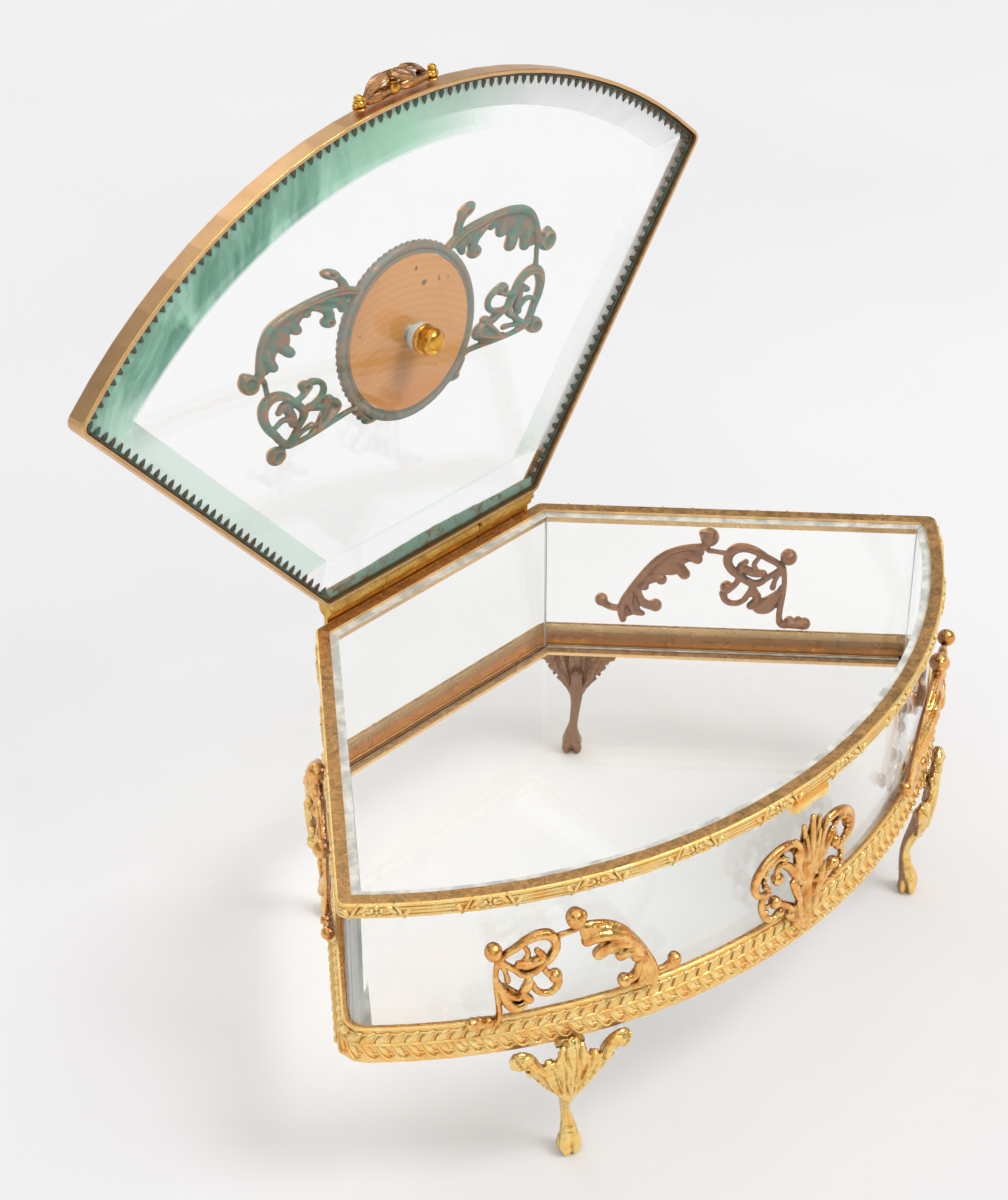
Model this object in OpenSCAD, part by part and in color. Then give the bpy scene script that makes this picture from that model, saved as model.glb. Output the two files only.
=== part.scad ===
// Fan-shaped glass casket: bevelled panes in gilt frames, cast mounts,
// four hoofed feet and a hinged lid with a medallion and a front clasp.
// The origin is on the standing plane, at mid width and mid depth.
// The lid stands open; its modules are drawn closed and turned by opened().

/* [Casket] */
// Width across the front corners of the upper rim
front_w = 220; // [200:1:240]
// Width of the straight back of the upper rim
rear_w = 82; // [70:1:94]
// Depth from the back to the line through the front corners
side_depth = 81; // [74:1:90]
// How far the bowed front stands out past that line
bulge = 48; // [42:1:54]
// Height of the lower frame's underside above the table
foot_h = 38.5; // [38:0.5:42]
// Height from the lower frame's underside to the top of the rim
case_h = 47.5; // [44:0.5:56]

/* [Frames] */
// Height of the lower frame
lower_h = 9.5; // [8:0.5:11]
// How far the lower frame flares out from its top to its foot
lower_flare = 1.75; // [1:0.25:2.5]
// How far the lower frame's top edge stands inside the rim outline
lower_inset = 0.25; // [0:0.05:0.4]
// Height of the upper rim's skirt
rim_h = 4.4; // [3.5:0.1:6]
// Width of the flat ledge on top of the upper rim
rim_ledge = 3; // [2.4:0.1:4]
// How far the rim's face swells out at mid height
rim_swell = 0.3; // [0:0.1:0.6]
// Thickness of the brass sheet
sheet_t = 0.8; // [0.6:0.1:0.9]
// Rounding of the upper rim's corners
rim_corner_r = 2; // [1:0.5:4]
// Rounding of the lower frame's corners
lower_corner_r = 7; // [5:0.5:9]

/* [Glass] */
// Thickness of the four wall panes
pane_t = 4; // [3:0.25:4.5]
// Thickness of the bottom glass
bottom_t = 3.5; // [2.5:0.25:5]
// Gap between the panes and the brass
pane_gap = 0.3; // [0.15:0.05:0.4]
// Width of the frame's inner flange under the bottom glass
bottom_seat = 1.5; // [1:0.25:3]

/* [Lid] */
// How far the lid stands inside the rim outline
lid_inset = 2.8; // [2.2:0.1:3.4]
// How far the lid's back stands inside the back of the rim
lid_back_inset = 1.2; // [1:0.1:1.6]
// Gap between the closed lid and the rim
lid_gap = 0.3; // [0.2:0.1:0.6]
// Height of the lid's brass band
band_h = 5.7; // [5.2:0.1:7]
// Width of the folded lip that holds the lid glass from above
lip_w = 1.7; // [1.2:0.1:2.2]
// Thickness of the lid glass at its edge
lid_edge_t = 2.4; // [2:0.1:2.4]
// Rise of the bevel from the edge to the flat of the lid glass
bevel_rise = 2.6; // [1.5:0.1:3]
// Width of the bevel along the bowed front
bevel_front_w = 9; // [6:0.5:10]
// How far the lid opens from closed
lid_open = 93.4; // [85:0.1:95]
// Spacing of the teeth on the strip under the lid glass
tooth_pitch = 2.9; // [2.4:0.1:3.6]
// Length of a tooth
tooth_len = 1.9; // [1.2:0.1:2.6]

/* [Hinge] */
// Radius of the hinge knuckles
knuckle_r = 2.2; // [2:0.1:2.3]
// Radius of the hinge pin
hinge_pin_r = 0.8; // [0.6:0.05:1.1]
// Radial play of the pin in the moving knuckles
pin_play = 0.05; // [0.03:0.01:0.08]
// Length of the row of knuckles
hinge_len = 74; // [60:1:76]
// Length of the body's knuckle
body_knuckle = 34; // [26:1:40]
// Gap between neighbouring knuckles
knuckle_gap = 0.3; // [0.2:0.05:0.5]
// Distance of the hinge axis behind the back of the rim
hinge_out = 1.3; // [1.2:0.05:1.4]
// Height of the hinge axis above the rim
hinge_up = 3.45; // [3.4:0.05:3.6]

/* [Medallion] */
// Distance of the medallion's centre in front of mid depth
medal_front = -2; // [-6:0.5:6]
// Outer radius of the medallion's rim
medal_r = 23.5; // [20:0.5:26]
// Width of the medallion's rim
medal_rim_w = 3.5; // [2.5:0.25:5]
// Height of the medallion's rim above the glass
medal_h = 3; // [2.2:0.1:4]
// Thickness of the medallion's back plate
medal_plate_t = 1; // [0.6:0.1:1.4]
// Rise of the domed plaque
plaque_rise = 1.4; // [0.6:0.1:2]
// Radius of the stud that holds the medallion
stud_r = 1.5; // [1:0.1:1.8]
// Radius of the nut under the lid
nut_r = 3.6; // [2.8:0.1:4.5]
// Height of the nut with its ball end
nut_h = 8; // [6:0.5:10]

/* [Clasp] */
// Distance between the clasp's two end posts
clasp_w = 24.4; // [20:0.2:30]
// Radius of the clasp's bar
clasp_bar_r = 0.9; // [0.7:0.05:1]
// Radius of the lever's barrel round the bar
barrel_r = 1.5; // [1.4:0.05:1.6]
// Distance of the bar in front of the lid's band
clasp_out = 1.9; // [1.8:0.05:2.2]
// How far the bow stands out past the bar
bow_out = 3.6; // [3:0.1:4.6]
// Width of the tongue that snaps over the catch
tongue_w = 5.6; // [4:0.2:8]
// Width of the catch lip on the rim
catch_w = 14; // [10:0.5:18]
// Place of the catch lip's middle along x
catch_at = -3; // [-4:0.5:4]
// How far the catch lip stands out from the rim
catch_out = 2; // [1.4:0.1:2.2]
// Thickness of the catch lip
catch_t = 1.8; // [1.2:0.1:2]

/* [Cast mounts] */
// Width of the side arches
arch_w = 57; // [50:0.5:62]
// Place of the front arches' centres along the bowed front, as a share of its width
front_arch_place = 0.321; // [0.28:0.001:0.34]
// Width of the front arches as a share of the side arches' width
front_arch_share = 0.88; // [0.8:0.01:1]
// Place of the side arches' centres along the side, as a share of its depth
side_arch_place = 0.586; // [0.5:0.002:0.64]
// Height of the palmette above the lower frame
palmette_h = 30.5; // [27:0.5:32]
// Place of the palmette's middle along the bowed front
palmette_at = -4; // [-8:0.5:8]
// Length of the lid's two wings, outward from the medallion
wing_len = 33; // [29:0.5:36]
// Thickness of the cast mounts
cast_t = 1.8; // [1.4:0.1:2.2]
// Distance of the arches' and the palmette's backs from the frame's face
cast_stand = 0.75; // [0.5:0.05:1]
// Gap between the cast mounts and what they are soldered to
solder_gap = 0.1; // [0:0.05:0.2]

/* [Feet] */
// Place of the front feet along the bowed front, as a share of its width
front_foot_place = 0.321; // [0.28:0.001:0.34]
// Place of the back feet along the side, as a share of its depth
back_foot_place = 0.136; // [0.12:0.002:0.2]
// Radius of the rivets that hold the feet
rivet_r = 0.9; // [0.6:0.05:1.1]

/* [Hidden] */

// Everything round that turns or fits is cut this fine
$fn = 48;
gilt = [0.83, 0.65, 0.33];
copper = [0.76, 0.56, 0.36];
cast_gold = [0.80, 0.52, 0.20];
glass_green = [0.62, 0.80, 0.72, 0.5];

// Fan outline of the rim: straight back, two straight sides, bowed front
front_half = front_w / 2;
rear_half = rear_w / 2;
rear_y = (side_depth + bulge) / 2;
arc_r = (pow(front_half, 2) + pow(bulge, 2)) / (2 * bulge);
arc_y = arc_r - rear_y;
side_k = (front_half - rear_half) / side_depth;
side_c = sqrt(1 + side_k * side_k);
side_out = [1, side_k] / side_c;
side_dir = [side_k, -1] / side_c;
side_turn = atan(side_k);
side_t = side_out * [rear_half, rear_y - arc_y];
outline_min_r = 0.4;
corner_steps = 3;
arc_steps = 12;

// Heights of the frames and the glass
rim_z = foot_h + case_h;
flange_z = foot_h + 1;
lower_top = foot_h + lower_h;
pane_out = lower_inset + sheet_t + pane_gap / 2;
pane_in = pane_out + pane_t;
pane_top = rim_z - sheet_t - pane_gap / 3;
seat_in = pane_in + pane_gap / 2 + bottom_seat;
skirt_z = rim_z - rim_h;

// Heights of the closed lid
band_z = rim_z + lid_gap;
band_top = band_z + band_h;
lip_t = sheet_t;
glass_z = band_top - lip_t - lid_edge_t - bevel_rise * lip_w / bevel_front_w - 0.1;
glass_top = glass_z + lid_edge_t + bevel_rise;
lid_glass_inset = lid_inset + sheet_t + 0.1;
lid_corner_r = 2.5;
lid_front_y = -rear_y + lid_inset;
hinge_y = rear_y + hinge_out;
hinge_z = rim_z + hinge_up;
medal_y = -medal_front;

// Clasp bar, and the tongue's inner face clear of the catch lip's sweep
bar_y = lid_front_y - clasp_out;
bar_z = band_z + band_h * 0.64;
catch_y = -rear_y - catch_out;
catch_top = skirt_z + 1;
tongue_gap = 0.6;
tongue_y = catch_y - tongue_gap;
tongue_t = 1.1;
tongue_z = skirt_z + 0.4;
knob_r = 2.1;
post_h = 4;
barrel_half = clasp_w / 2 - knob_r - 0.3;
clasp_bar_half = clasp_w / 2 + 1;

// Middle of a wall casting's thickness, measured out from the rim outline
cast_o = cast_t / 2 + solder_gap + cast_stand;
foot_o = lower_flare - lower_inset + 2 * solder_gap + cast_t / 2;
front_arch_at = front_arch_place * front_w;
front_foot_at = front_foot_place * front_w;
side_arch_at = side_arch_place * side_depth;
back_foot_at = back_foot_place * side_depth;

// Centre of a corner rounding at inset e, at the back and at the front
function rear_centre(e, back) = [rear_half - e * side_c + back * side_k, rear_y - back];
function front_centre(e) = let (t = side_t - e)
    [0, arc_y] + side_out * t + side_dir * sqrt(pow(arc_r - e, 2) - t * t);

// Points from one angle to another on a circle, in equal steps
function sweep(c, r, a0, a1, steps) =
    [for (i = [0:steps]) c + r * [cos(a0 + (a1 - a0) * i / steps), sin(a0 + (a1 - a0) * i / steps)]];

// Half of the fan outline, from the back's middle side to the front's middle.
// d is the inset, r the corner rounding wanted at inset d0, back the extra
// room that the back keeps.
function half_outline(d, d0, r, back = 0) =
    let (f = max(r + d0 - d, outline_min_r),
        rc = rear_centre(d + f, d + f - back),
        fc = front_centre(d + f),
        fa = atan2(fc[1] - arc_y, fc[0]))
    concat(sweep(rc, f, 90, side_turn, corner_steps),
        sweep(fc, f, side_turn, fa, corner_steps),
        [for (i = [1:arc_steps]) let (a = fa + (-90 - fa) * i / arc_steps)
            [0, arc_y] + (arc_r - d) * [cos(a), sin(a)]]);

function mirrored(points) = [for (i = [len(points) - 1:-1:0]) [-points[i][0], points[i][1]]];

// Whole fan outline, clockwise from above, its front middle point held once
function outline(d, d0 = 0, r = rim_corner_r, back = 0) =
    let (h = half_outline(d, d0, r, back), m = mirrored(h))
    concat(h, [for (i = [1:len(m) - 1]) m[i]]);

function lifted(points, z) = [for (p = points) [p[0], p[1], z]];

// Solid through a list of closed rings of equal length; flip turns it inside out
module rings_solid(rings, flip = false, closed = false) {
    m = len(rings[0]);
    n = len(rings);
    points = [for (ring = rings) for (p = ring) p];
    last = closed ? n - 1 : n - 2;
    sides = [for (i = [0:last]) for (j = [0:m - 1])
        let (k = (j + 1) % m, i1 = (i + 1) % n)
        [i1 * m + j, i1 * m + k, i * m + k, i * m + j]];
    caps = closed ? [] : [[for (j = [0:m - 1]) j], [for (j = [m - 1:-1:0]) (n - 1) * m + j]];
    faces = concat(sides, caps);
    polyhedron(points, flip ? [for (f = faces) [for (i = [len(f) - 1:-1:0]) f[i]]] : faces,
        convexity = 6);
}

// Frame swept round the fan: profile points are [inset, height]
module frame_ring(profile, d0, r, back = 0) {
    rings_solid([for (p = profile) lifted(outline(p[0], d0, r, back), p[1])], closed = true);
}

// Places on the walls: u along the wall, v up, o out from the rim outline
function front_point(u, v, o) = let (a = u / arc_r * 180 / PI)
    [(arc_r + o) * sin(a), arc_y - (arc_r + o) * cos(a), v];
function side_point(u, v, o) = let (p = [rear_half, rear_y] + side_dir * u + side_out * o)
    [p[0], p[1], v];

// Wing place on the closed lid: the arch laid flat, drawn in at the medallion
wing_start = medal_r - 1.8;
wing_scale = 1.06;
wing_pinch = 0.7;
wing_spread = 0.012;
function lid_point(u, v, o) = [-(wing_start + wing_scale * v),
    medal_y - u * (wing_pinch + wing_spread * v), glass_top + cast_t / 2 + solder_gap + o];

// A ground is [kind, middle, direction, base height, base offset]
front_wall = 0;
side_wall = 1;
lid_face = 2;
function put(ground, u, v, o) =
    let (s = ground[1] + ground[2] * u, z = ground[3] + v, q = ground[4] + o)
    ground[0] == front_wall ? front_point(s, z, q) :
    ground[0] == side_wall ? side_point(s, z, q) : lid_point(s, z, q);
function turned_over(ground) = (ground[0] == front_wall ? 1 : -1) * ground[2] < 0;

// Smooth run through hand-chosen points [u, v, radius]
function blend(a, b, c, d, t) = 0.5 * (2 * b + (c - a) * t
    + (2 * a - 5 * b + 4 * c - d) * t * t + (3 * b - a - 3 * c + d) * t * t * t);
function smooth(path, steps) = let (n = len(path))
    concat([for (i = [0:n - 2]) for (j = [0:steps - 1])
        blend(path[max(i - 1, 0)], path[i], path[i + 1], path[min(i + 2, n - 1)], j / steps)],
        [path[n - 1]]);
function heading(path, i) = let (n = len(path),
    d = path[min(i + 1, n - 1)] - path[max(i - 1, 0)]) [d[0], d[1]] / norm([d[0], d[1]]);

// Cast stem along a path on a ground; on the lid its back lies flat
module stem(ground, path, steps = 2, sides = 6, flat = 1, lift = 0) {
    run = smooth(path, steps);
    low = ground[0] == lid_face ? -cast_t / 2 : -cast_t;
    rings_solid([for (i = [0:len(run) - 1])
        let (t = heading(run, i), p = run[i], r = max(p[2], 0.15))
        [for (j = [0:sides - 1]) let (a = 360 * j / sides)
            put(ground, p[0] - t[1] * r * cos(a), p[1] + t[0] * r * cos(a),
                max(lift + flat * r * sin(a), low))]],
        turned_over(ground));
}

// Cast ball, a short stem with round ends
module bead(ground, u, v, r, lift = 0) {
    stem(ground, [[u - r, v, r * 0.3], [u - r * 0.6, v, r * 0.8], [u, v, r],
        [u + r * 0.6, v, r * 0.8], [u + r, v, r * 0.3]], 1, lift = lift);
}

// Stems that cross stand at slightly different depths, so that no faces coincide
stem_stagger = 0.07;
module stems(ground, paths, steps = 2, lift = 0) {
    for (i = [0:len(paths) - 1]) stem(ground, paths[i], steps, lift = lift + stem_stagger * i);
}

module beads(ground, list, lift = 0) {
    for (i = [0:len(list) - 1]) let (b = list[i])
        bead(ground, b[0], b[1], b[2], lift + stem_stagger * i);
}

// Pointed leaf lobe from root to tip, ridged along its middle
module lobe(ground, root, tip, w, back) {
    d = tip - root;
    n = [-d[1], d[0]] / norm(d) * w / 2;
    wide = root + d * 0.6;
    flat = [root + n * 0.5, wide + n, tip, wide - n, root - n * 0.5];
    crest = root + d * 0.45;
    hull() polyhedron(concat([for (p = flat) put(ground, p[0], p[1], back)],
        [put(ground, tip[0], tip[1], back / 3), put(ground, crest[0], crest[1], cast_t / 2)]),
        [[0, 1, 2, 3, 4], [6, 1, 0], [6, 5, 1], [5, 2, 1], [5, 3, 2], [6, 3, 5], [6, 4, 3], [6, 0, 4]]);
}

// Lobes that overlap, their backs set at three depths so that no two coincide
lobe_stagger = 0.09;
// Hand-chosen points of a casting, grown from the size they were drawn at
function grown(list, k) = [for (p = list) p * k];

module lobes(ground, list) {
    for (i = [0:len(list) - 1]) let (l = list[i])
        lobe(ground, [l[0], l[1]], [l[2], l[3]], l[4], lobe_stagger * (i % 3) - cast_t / 2);
}

// Block on a ground between two corners [u, v, o]
module block(ground, low, high) {
    rings_solid([for (v = [low[1], high[1]])
        [put(ground, low[0], v, low[2]), put(ground, high[0], v, low[2]),
            put(ground, high[0], v, high[2]), put(ground, low[0], v, high[2])]],
        !turned_over(ground));
}

// The arch: scroll foot on one side, leaf and two curls on the other.
// Its points are [u, v, radius], the base line of the frame's top at v = 0.
arch_loop = [[-4.5, 23.5, 1.2], [-7, 25.5, 1.2], [-11, 25, 1.3], [-15, 22.5, 1.3],
    [-19.5, 19.5, 1.4], [-15.5, 16, 1], [-11, 16, 1], [-7, 18.5, 1], [-5, 21, 1.1], [-4.5, 23, 1.1]];
arch_drop = [[-7, 18.5, 0.9], [-6.5, 15.5, 0.8], [-5.5, 12.5, 0.85]];
arch_curl = [[-9.5, 16, 0.8], [-11, 12.5, 1], [-10, 8.5, 1.1], [-6.5, 7, 1], [-3.5, 8, 1],
    [-2.3, 11, 1], [-3.5, 13, 1.2], [-4.5, 12, 1.6]];
arch_cup = [[-11.5, 12, 0.8], [-12.5, 7.5, 1], [-15.5, 5, 1], [-19.5, 7, 0.8]];
arch_stem = [[-19.5, 19, 1.3], [-20, 13, 1.1], [-19.5, 7, 1.1], [-19, 3, 1.2], [-20, 0.8, 1.2],
    [-22.5, 1.3, 1.1], [-26.5, 0.8, 1.5]];
arch_link = [[-4.5, 23.5, 1.2], [-1.5, 24, 1.2], [2.5, 24.5, 1.4]];
arch_spine = [[2, 24.7, 1.3], [7.5, 25, 1.6], [12, 22.7, 1.6], [15.5, 18.7, 1.6], [19, 14.4, 1.5],
    [21.5, 10.5, 1.4], [23.2, 7, 1.2], [23.8, 3.4, 1.4], [23.8, 0, 1.4]];
arch_outer_curl = [[22.5, 8.5, 1], [26.5, 5.3, 1], [29, 4.1, 1.1], [31, 5.5, 1.2], [30, 6.7, 1.8]];
arch_inner_curl = [[22.5, 6, 1], [19.5, 2.7, 0.9], [16.5, 1.7, 1], [13.7, 3.5, 1.2], [15, 5.2, 1.8]];
arch_lobes = [[4.5, 25, 1.9, 19.3, 3.4], [6, 25.2, 4.2, 20.6, 3], [7.7, 25, 6.4, 19.3, 3.4],
    [9.7, 24.2, 8, 17.5, 3.6], [11.5, 23, 7.6, 13, 4.2], [13.5, 21.2, 10.6, 14.5, 3.6],
    [15.8, 18.6, 13, 12.3, 4], [18, 15.8, 16, 11.5, 3.2], [23.2, 7.5, 23.8, 0.4, 4.2]];
arch_balls = [[-20.7, 22.6, 2.2], [-8.7, 22.8, 1.7], [0.9, 28.1, 2.8]];
arch_drawn_w = 57;
wing_drawn_len = 33;
module arch(ground, k) {
    stems(ground, [for (p = [arch_loop, arch_drop, arch_curl, arch_cup, arch_stem]) grown(p, k)]);
    stems(ground, [for (p = [arch_spine, arch_outer_curl, arch_inner_curl]) grown(p, k)]);
    stem(ground, grown(arch_link, k), 1, lift = stem_stagger * 3.5);
    lobes(ground, grown(arch_lobes, k));
    beads(ground, grown(arch_balls, k), stem_stagger / 2);
}

// Solder pads that seat an arch's two feet on the lower frame's face
arch_pads = [-20, 23.8];
pad_w = 4;
pad_v = [-1.6, 1.5];
pad_back = 1.5 * solder_gap - cast_o;
module wall_arch(ground) {
    k = arch_w / arch_drawn_w;
    arch(ground, k);
    for (u = arch_pads) block(ground, [u * k - pad_w / 2, pad_v[0], pad_back],
        [u * k + pad_w / 2, pad_v[1], cast_t / 2]);
}

// The front palmette: two blades on a trunk, a loop and a curl on each side.
// Its heights count from the top of the lower frame.
palm_loop = [[3, 22, 1.2], [8, 25, 1.2], [14, 24, 1.3], [18, 19, 1.4], [18, 14, 1.2],
    [14.5, 12.5, 1], [13.5, 16, 1], [14, 20, 1], [10, 21.5, 1.5]];
palm_curl = [[3.5, 14, 1.2], [9, 13, 1.1], [14, 12, 1.1], [15.5, 8, 1], [13.5, 4.5, 1],
    [10.5, 5, 1.1], [11, 8, 1.8]];
palm_lobes = [[0.5, -1, 5, 5, 4], [1, 4, 6, 10, 4], [1, 9, 7.5, 16, 4.4], [1, 14, 9, 18.5, 4.4],
    [1, 16, 3.5, 28, 4], [0.5, 18, 1, 30.5, 3.4], [1, 0, 7, -0.5, 3]];
palm_trunk = [[0, -3.5, 2.6], [0, 2, 3.2], [0, 9, 2.6], [0, 18, 3], [0, 23, 1.6]];
palm_balls = [[11.4, 17.5, 1.9]];
palm_drawn_h = 30.5;
palm_low = [-3.6, -4, -cast_t / 2];
palm_high = [3.6, -1, cast_t / 2];

// The foot: an acanthus fan over a deer's leg with a cloven hoof.
// Leg sections are [height, u, o, half width, half depth].
leg = [[5, 1, -2.4, 2.1, 2.2], [8, 1, -3.2, 2.5, 2.3], [11, 0.6, -4.2, 1.6, 1.7],
    [14, 0.3, -4.2, 1.5, 1.6], [18, 0, -3.2, 2, 1.9], [24, 0, -1.4, 3.6, 1.9],
    [30, 0, -0.6, 4.4, 1.2]];
toe = [[0, 1.5, -2.1, 1.3, 2.2], [2.5, 1.3, -2.2, 1.4, 2.2], [6, 1.2, -2.6, 1.2, 1.9]];
leg_sides = 10;
foot_lobes = [[0, 19, -8.6, 32.5, 4.6], [0, 19, 8.6, 32.5, 4.6], [0, 22, -6, 37, 5],
    [0, 22, 6, 37, 5], [0, 22, -2.8, 39.5, 4.4], [0, 22, 2.8, 39.5, 4.4], [0, 20, 0, 41, 5]];
foot_curl = [[2, 22, 1.2], [5.5, 28.5, 1.4], [9, 34.5, 1.5], [12, 37.3, 1.4], [13.8, 35.8, 1.2],
    [12.4, 34.5, 2]];
foot_plate = [[-3.5, -1.2, -7.4], [3.5, 0, 0]];
foot_drawn_h = 38.5;
rivet_u = 1.8;
rivet_o = -foot_o - 0.3 - rivet_r;
rivet_play = 0.15;

module leg_rings(ground, sections, side = 1) {
    rings_solid([for (s = sections) [for (j = [0:leg_sides - 1]) let (a = 360 * j / leg_sides)
        put(ground, side * s[1] + s[3] * cos(a), s[0], s[2] + s[4] * sin(a))]],
        !turned_over(ground));
}

module foot(ground) {
    k = foot_h / foot_drawn_h;
    lean = [ground[0], ground[1] + ground[2], ground[2], ground[3], ground[4]];
    top = [ground[0], ground[1], ground[2], foot_h, ground[4]];
    curl = grown(foot_curl, k);
    difference() {
        union() {
            leg_rings(ground, grown(leg, k));
            for (side = [-1, 1]) leg_rings(lean, grown(toe, k), side);
            lobes(ground, grown(foot_lobes, k));
            stems(ground, [curl, [for (p = curl) [-p[0], p[1], p[2]]]]);
            block(top, foot_plate[0], foot_plate[1]);
        }
        for (u = [-rivet_u, rivet_u]) translate(put(top, u, 2 * foot_plate[0][1], rivet_o))
            cylinder(r = rivet_r + rivet_play, h = -4 * foot_plate[0][1], $fn = 32);
    }
}

front_left_ground = [front_wall, -front_foot_at, 1, 0, foot_o];
back_right_ground = [side_wall, back_foot_at, -1, 0, foot_o];

// Places of the foot rivets on the right half and, mirrored, on the left
module rivet_places() {
    for (g = [[front_wall, front_foot_at, 1, 0, foot_o], back_right_ground], u = [-rivet_u, rivet_u])
        translate(put(g, u, foot_h, rivet_o)) children();
}

module both_sides() {
    children();
    mirror([1, 0, 0]) children();
}

// Turns a piece of the closed lid to the open lid
module opened() {
    translate([0, hinge_y, hinge_z]) rotate([-lid_open, 0, 0])
        translate([0, -hinge_y, -hinge_z]) children();
}

// Round bar along x from x0 to x1
module bar(x0, x1, r, y, z) {
    translate([x0, y, z]) rotate([0, 90, 0]) cylinder(r = r, h = x1 - x0);
}

// Stamped lower frame: flared face, plain top edge, flange under the glass
module lower_frame() {
    foot_d = lower_inset - lower_flare;
    profile = [[foot_d, foot_h], [foot_d, foot_h + 1.2], [lower_inset * 0.4 - 0.3, lower_top - 2.5],
        [lower_inset, lower_top], [lower_inset + sheet_t, lower_top],
        [lower_inset + sheet_t * 0.8, lower_top - 2.5], [foot_d + sheet_t, flange_z + 0.2],
        [foot_d + sheet_t + 0.2, flange_z], [seat_in, flange_z], [seat_in, foot_h]];
    color(gilt) difference() {
        frame_ring(profile, foot_d, lower_corner_r);
        both_sides() rivet_places() translate([0, 0, -1]) cylinder(r = rivet_r, h = 3);
    }
}

module bottom_glass() {
    color(glass_green) translate([0, 0, flange_z]) linear_extrude(bottom_t)
        polygon(outline(pane_in + pane_gap / 2, 0, lower_corner_r));
}

// Corner of the pane band at inset d: back right and front right
function pane_rear(d) = rear_centre(d, d);
function pane_front(d) = front_centre(d);
function ease(p, q, gap) = p + (q - p) / norm(q - p) * gap;

// Pane of a given outline, its outer corners rounded to clear the frames
module pane(points) {
    translate([0, 0, flange_z]) intersection() {
        linear_extrude(pane_top - flange_z) polygon(points);
        translate([0, 0, -1]) linear_extrude(pane_top - flange_z + 2)
            polygon(outline(pane_out, lower_inset - lower_flare, lower_corner_r));
    }
}

// Flat pane between two mitred corners, drawn in by the mitre gap
module flat_pane(a_out, b_out, a_in, b_in) {
    gap = pane_gap / 3;
    pane([ease(a_out, b_out, gap), ease(b_out, a_out, gap), ease(b_in, a_in, gap),
        ease(a_in, b_in, gap)]);
}

module back_glass() {
    flip = [[-1, 0], [0, 1]];
    color(glass_green) flat_pane(pane_rear(pane_out), flip * pane_rear(pane_out),
        pane_rear(pane_in), flip * pane_rear(pane_in));
}

module right_glass() {
    color(glass_green) flat_pane(pane_rear(pane_out), pane_front(pane_out),
        pane_rear(pane_in), pane_front(pane_in));
}

module left_glass() {
    mirror([1, 0, 0]) right_glass();
}

// Bent front pane between the two front corners
module front_glass() {
    turn_out = atan2(pane_front(pane_out)[0], arc_y - pane_front(pane_out)[1]);
    turn_in = atan2(pane_front(pane_in)[0], arc_y - pane_front(pane_in)[1]);
    gap = pane_gap / 2 / arc_r * 180 / PI;
    bend_steps = 2 * arc_steps;
    bend = function (d, turn) [for (i = [0:bend_steps])
        let (a = (turn - gap) * (2 * i / bend_steps - 1))
        [(arc_r - d) * sin(a), arc_y - (arc_r - d) * cos(a)]];
    color(glass_green) pane(concat(bend(pane_out, turn_out),
        [for (i = [bend_steps:-1:0]) bend(pane_in, turn_in)[i]]));
}

// Upper rim: swelling skirt and a flat ledge over the panes' top edges
module upper_rim() {
    profile = [[0, skirt_z], [-rim_swell, skirt_z + rim_h * 0.3],
        [-rim_swell, skirt_z + rim_h * 0.7], [0, rim_z], [rim_ledge, rim_z],
        [rim_ledge, rim_z - sheet_t], [sheet_t, rim_z - sheet_t], [sheet_t, skirt_z]];
    color(gilt) frame_ring(profile, 0, rim_corner_r);
}

// Catch lip on the middle of the rim's face
module catch_lip() {
    back_y = -rear_y - rim_swell - solder_gap;
    color(gilt) translate([catch_at, 0, catch_top - catch_t]) linear_extrude(catch_t)
        polygon([[-catch_w / 2, back_y], [-catch_w / 2 + 1, catch_y], [catch_w / 2 - 1, catch_y],
            [catch_w / 2, back_y]]);
}

module front_left_foot() {
    color(gilt) foot(front_left_ground);
}

module front_right_foot() {
    mirror([1, 0, 0]) front_left_foot();
}

module back_right_foot() {
    color(gilt) foot(back_right_ground);
}

module back_left_foot() {
    mirror([1, 0, 0]) back_right_foot();
}

// Rivets through the foot plates into the frame's flange
module foot_rivets() {
    head_h = 0.8;
    color(gilt) both_sides() rivet_places() translate([0, 0, foot_plate[0][1]]) {
        cylinder(r = rivet_r, h = flange_z - foot_h - foot_plate[0][1]);
        translate([0, 0, -head_h]) cylinder(r = rivet_r * 1.8, h = head_h);
    }
}

module front_left_arch() {
    color(cast_gold) wall_arch([front_wall, -front_arch_at, front_arch_share, lower_top, cast_o]);
}

module front_right_arch() {
    mirror([1, 0, 0]) front_left_arch();
}

module right_arch() {
    color(cast_gold) wall_arch([side_wall, side_arch_at, -1, lower_top, cast_o]);
}

module left_arch() {
    mirror([1, 0, 0]) right_arch();
}

module palmette() {
    k = palmette_h / palm_drawn_h;
    right = [front_wall, palmette_at, 1, lower_top, cast_o];
    left = [front_wall, palmette_at, -1, lower_top, cast_o];
    color(cast_gold) {
        stem(right, grown(palm_trunk, k), 1, 8, 0.4);
        for (ground = [left, right]) {
            stems(ground, [grown(palm_loop, k), grown(palm_curl, k)]);
            lobes(ground, grown(palm_lobes, k));
            beads(ground, grown(palm_balls, k), stem_stagger / 2);
        }
        block(right, palm_low, palm_high);
    }
}

// Body half of the hinge: middle knuckle on a leaf soldered to the rim's back
module hinge_leaf_body() {
    leaf_y = rear_y + rim_swell + solder_gap;
    leaf_t = hinge_out - rim_swell - solder_gap;
    color(gilt) difference() {
        union() {
            translate([-body_knuckle / 2, leaf_y, skirt_z]) cube([body_knuckle, leaf_t, hinge_z - skirt_z]);
            bar(-body_knuckle / 2, body_knuckle / 2, knuckle_r, hinge_y, hinge_z);
        }
        bar(-body_knuckle, body_knuckle, hinge_pin_r, hinge_y, hinge_z);
    }
}

module hinge_pin() {
    color(copper) bar(-hinge_len / 2, hinge_len / 2, hinge_pin_r, hinge_y, hinge_z);
}

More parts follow.
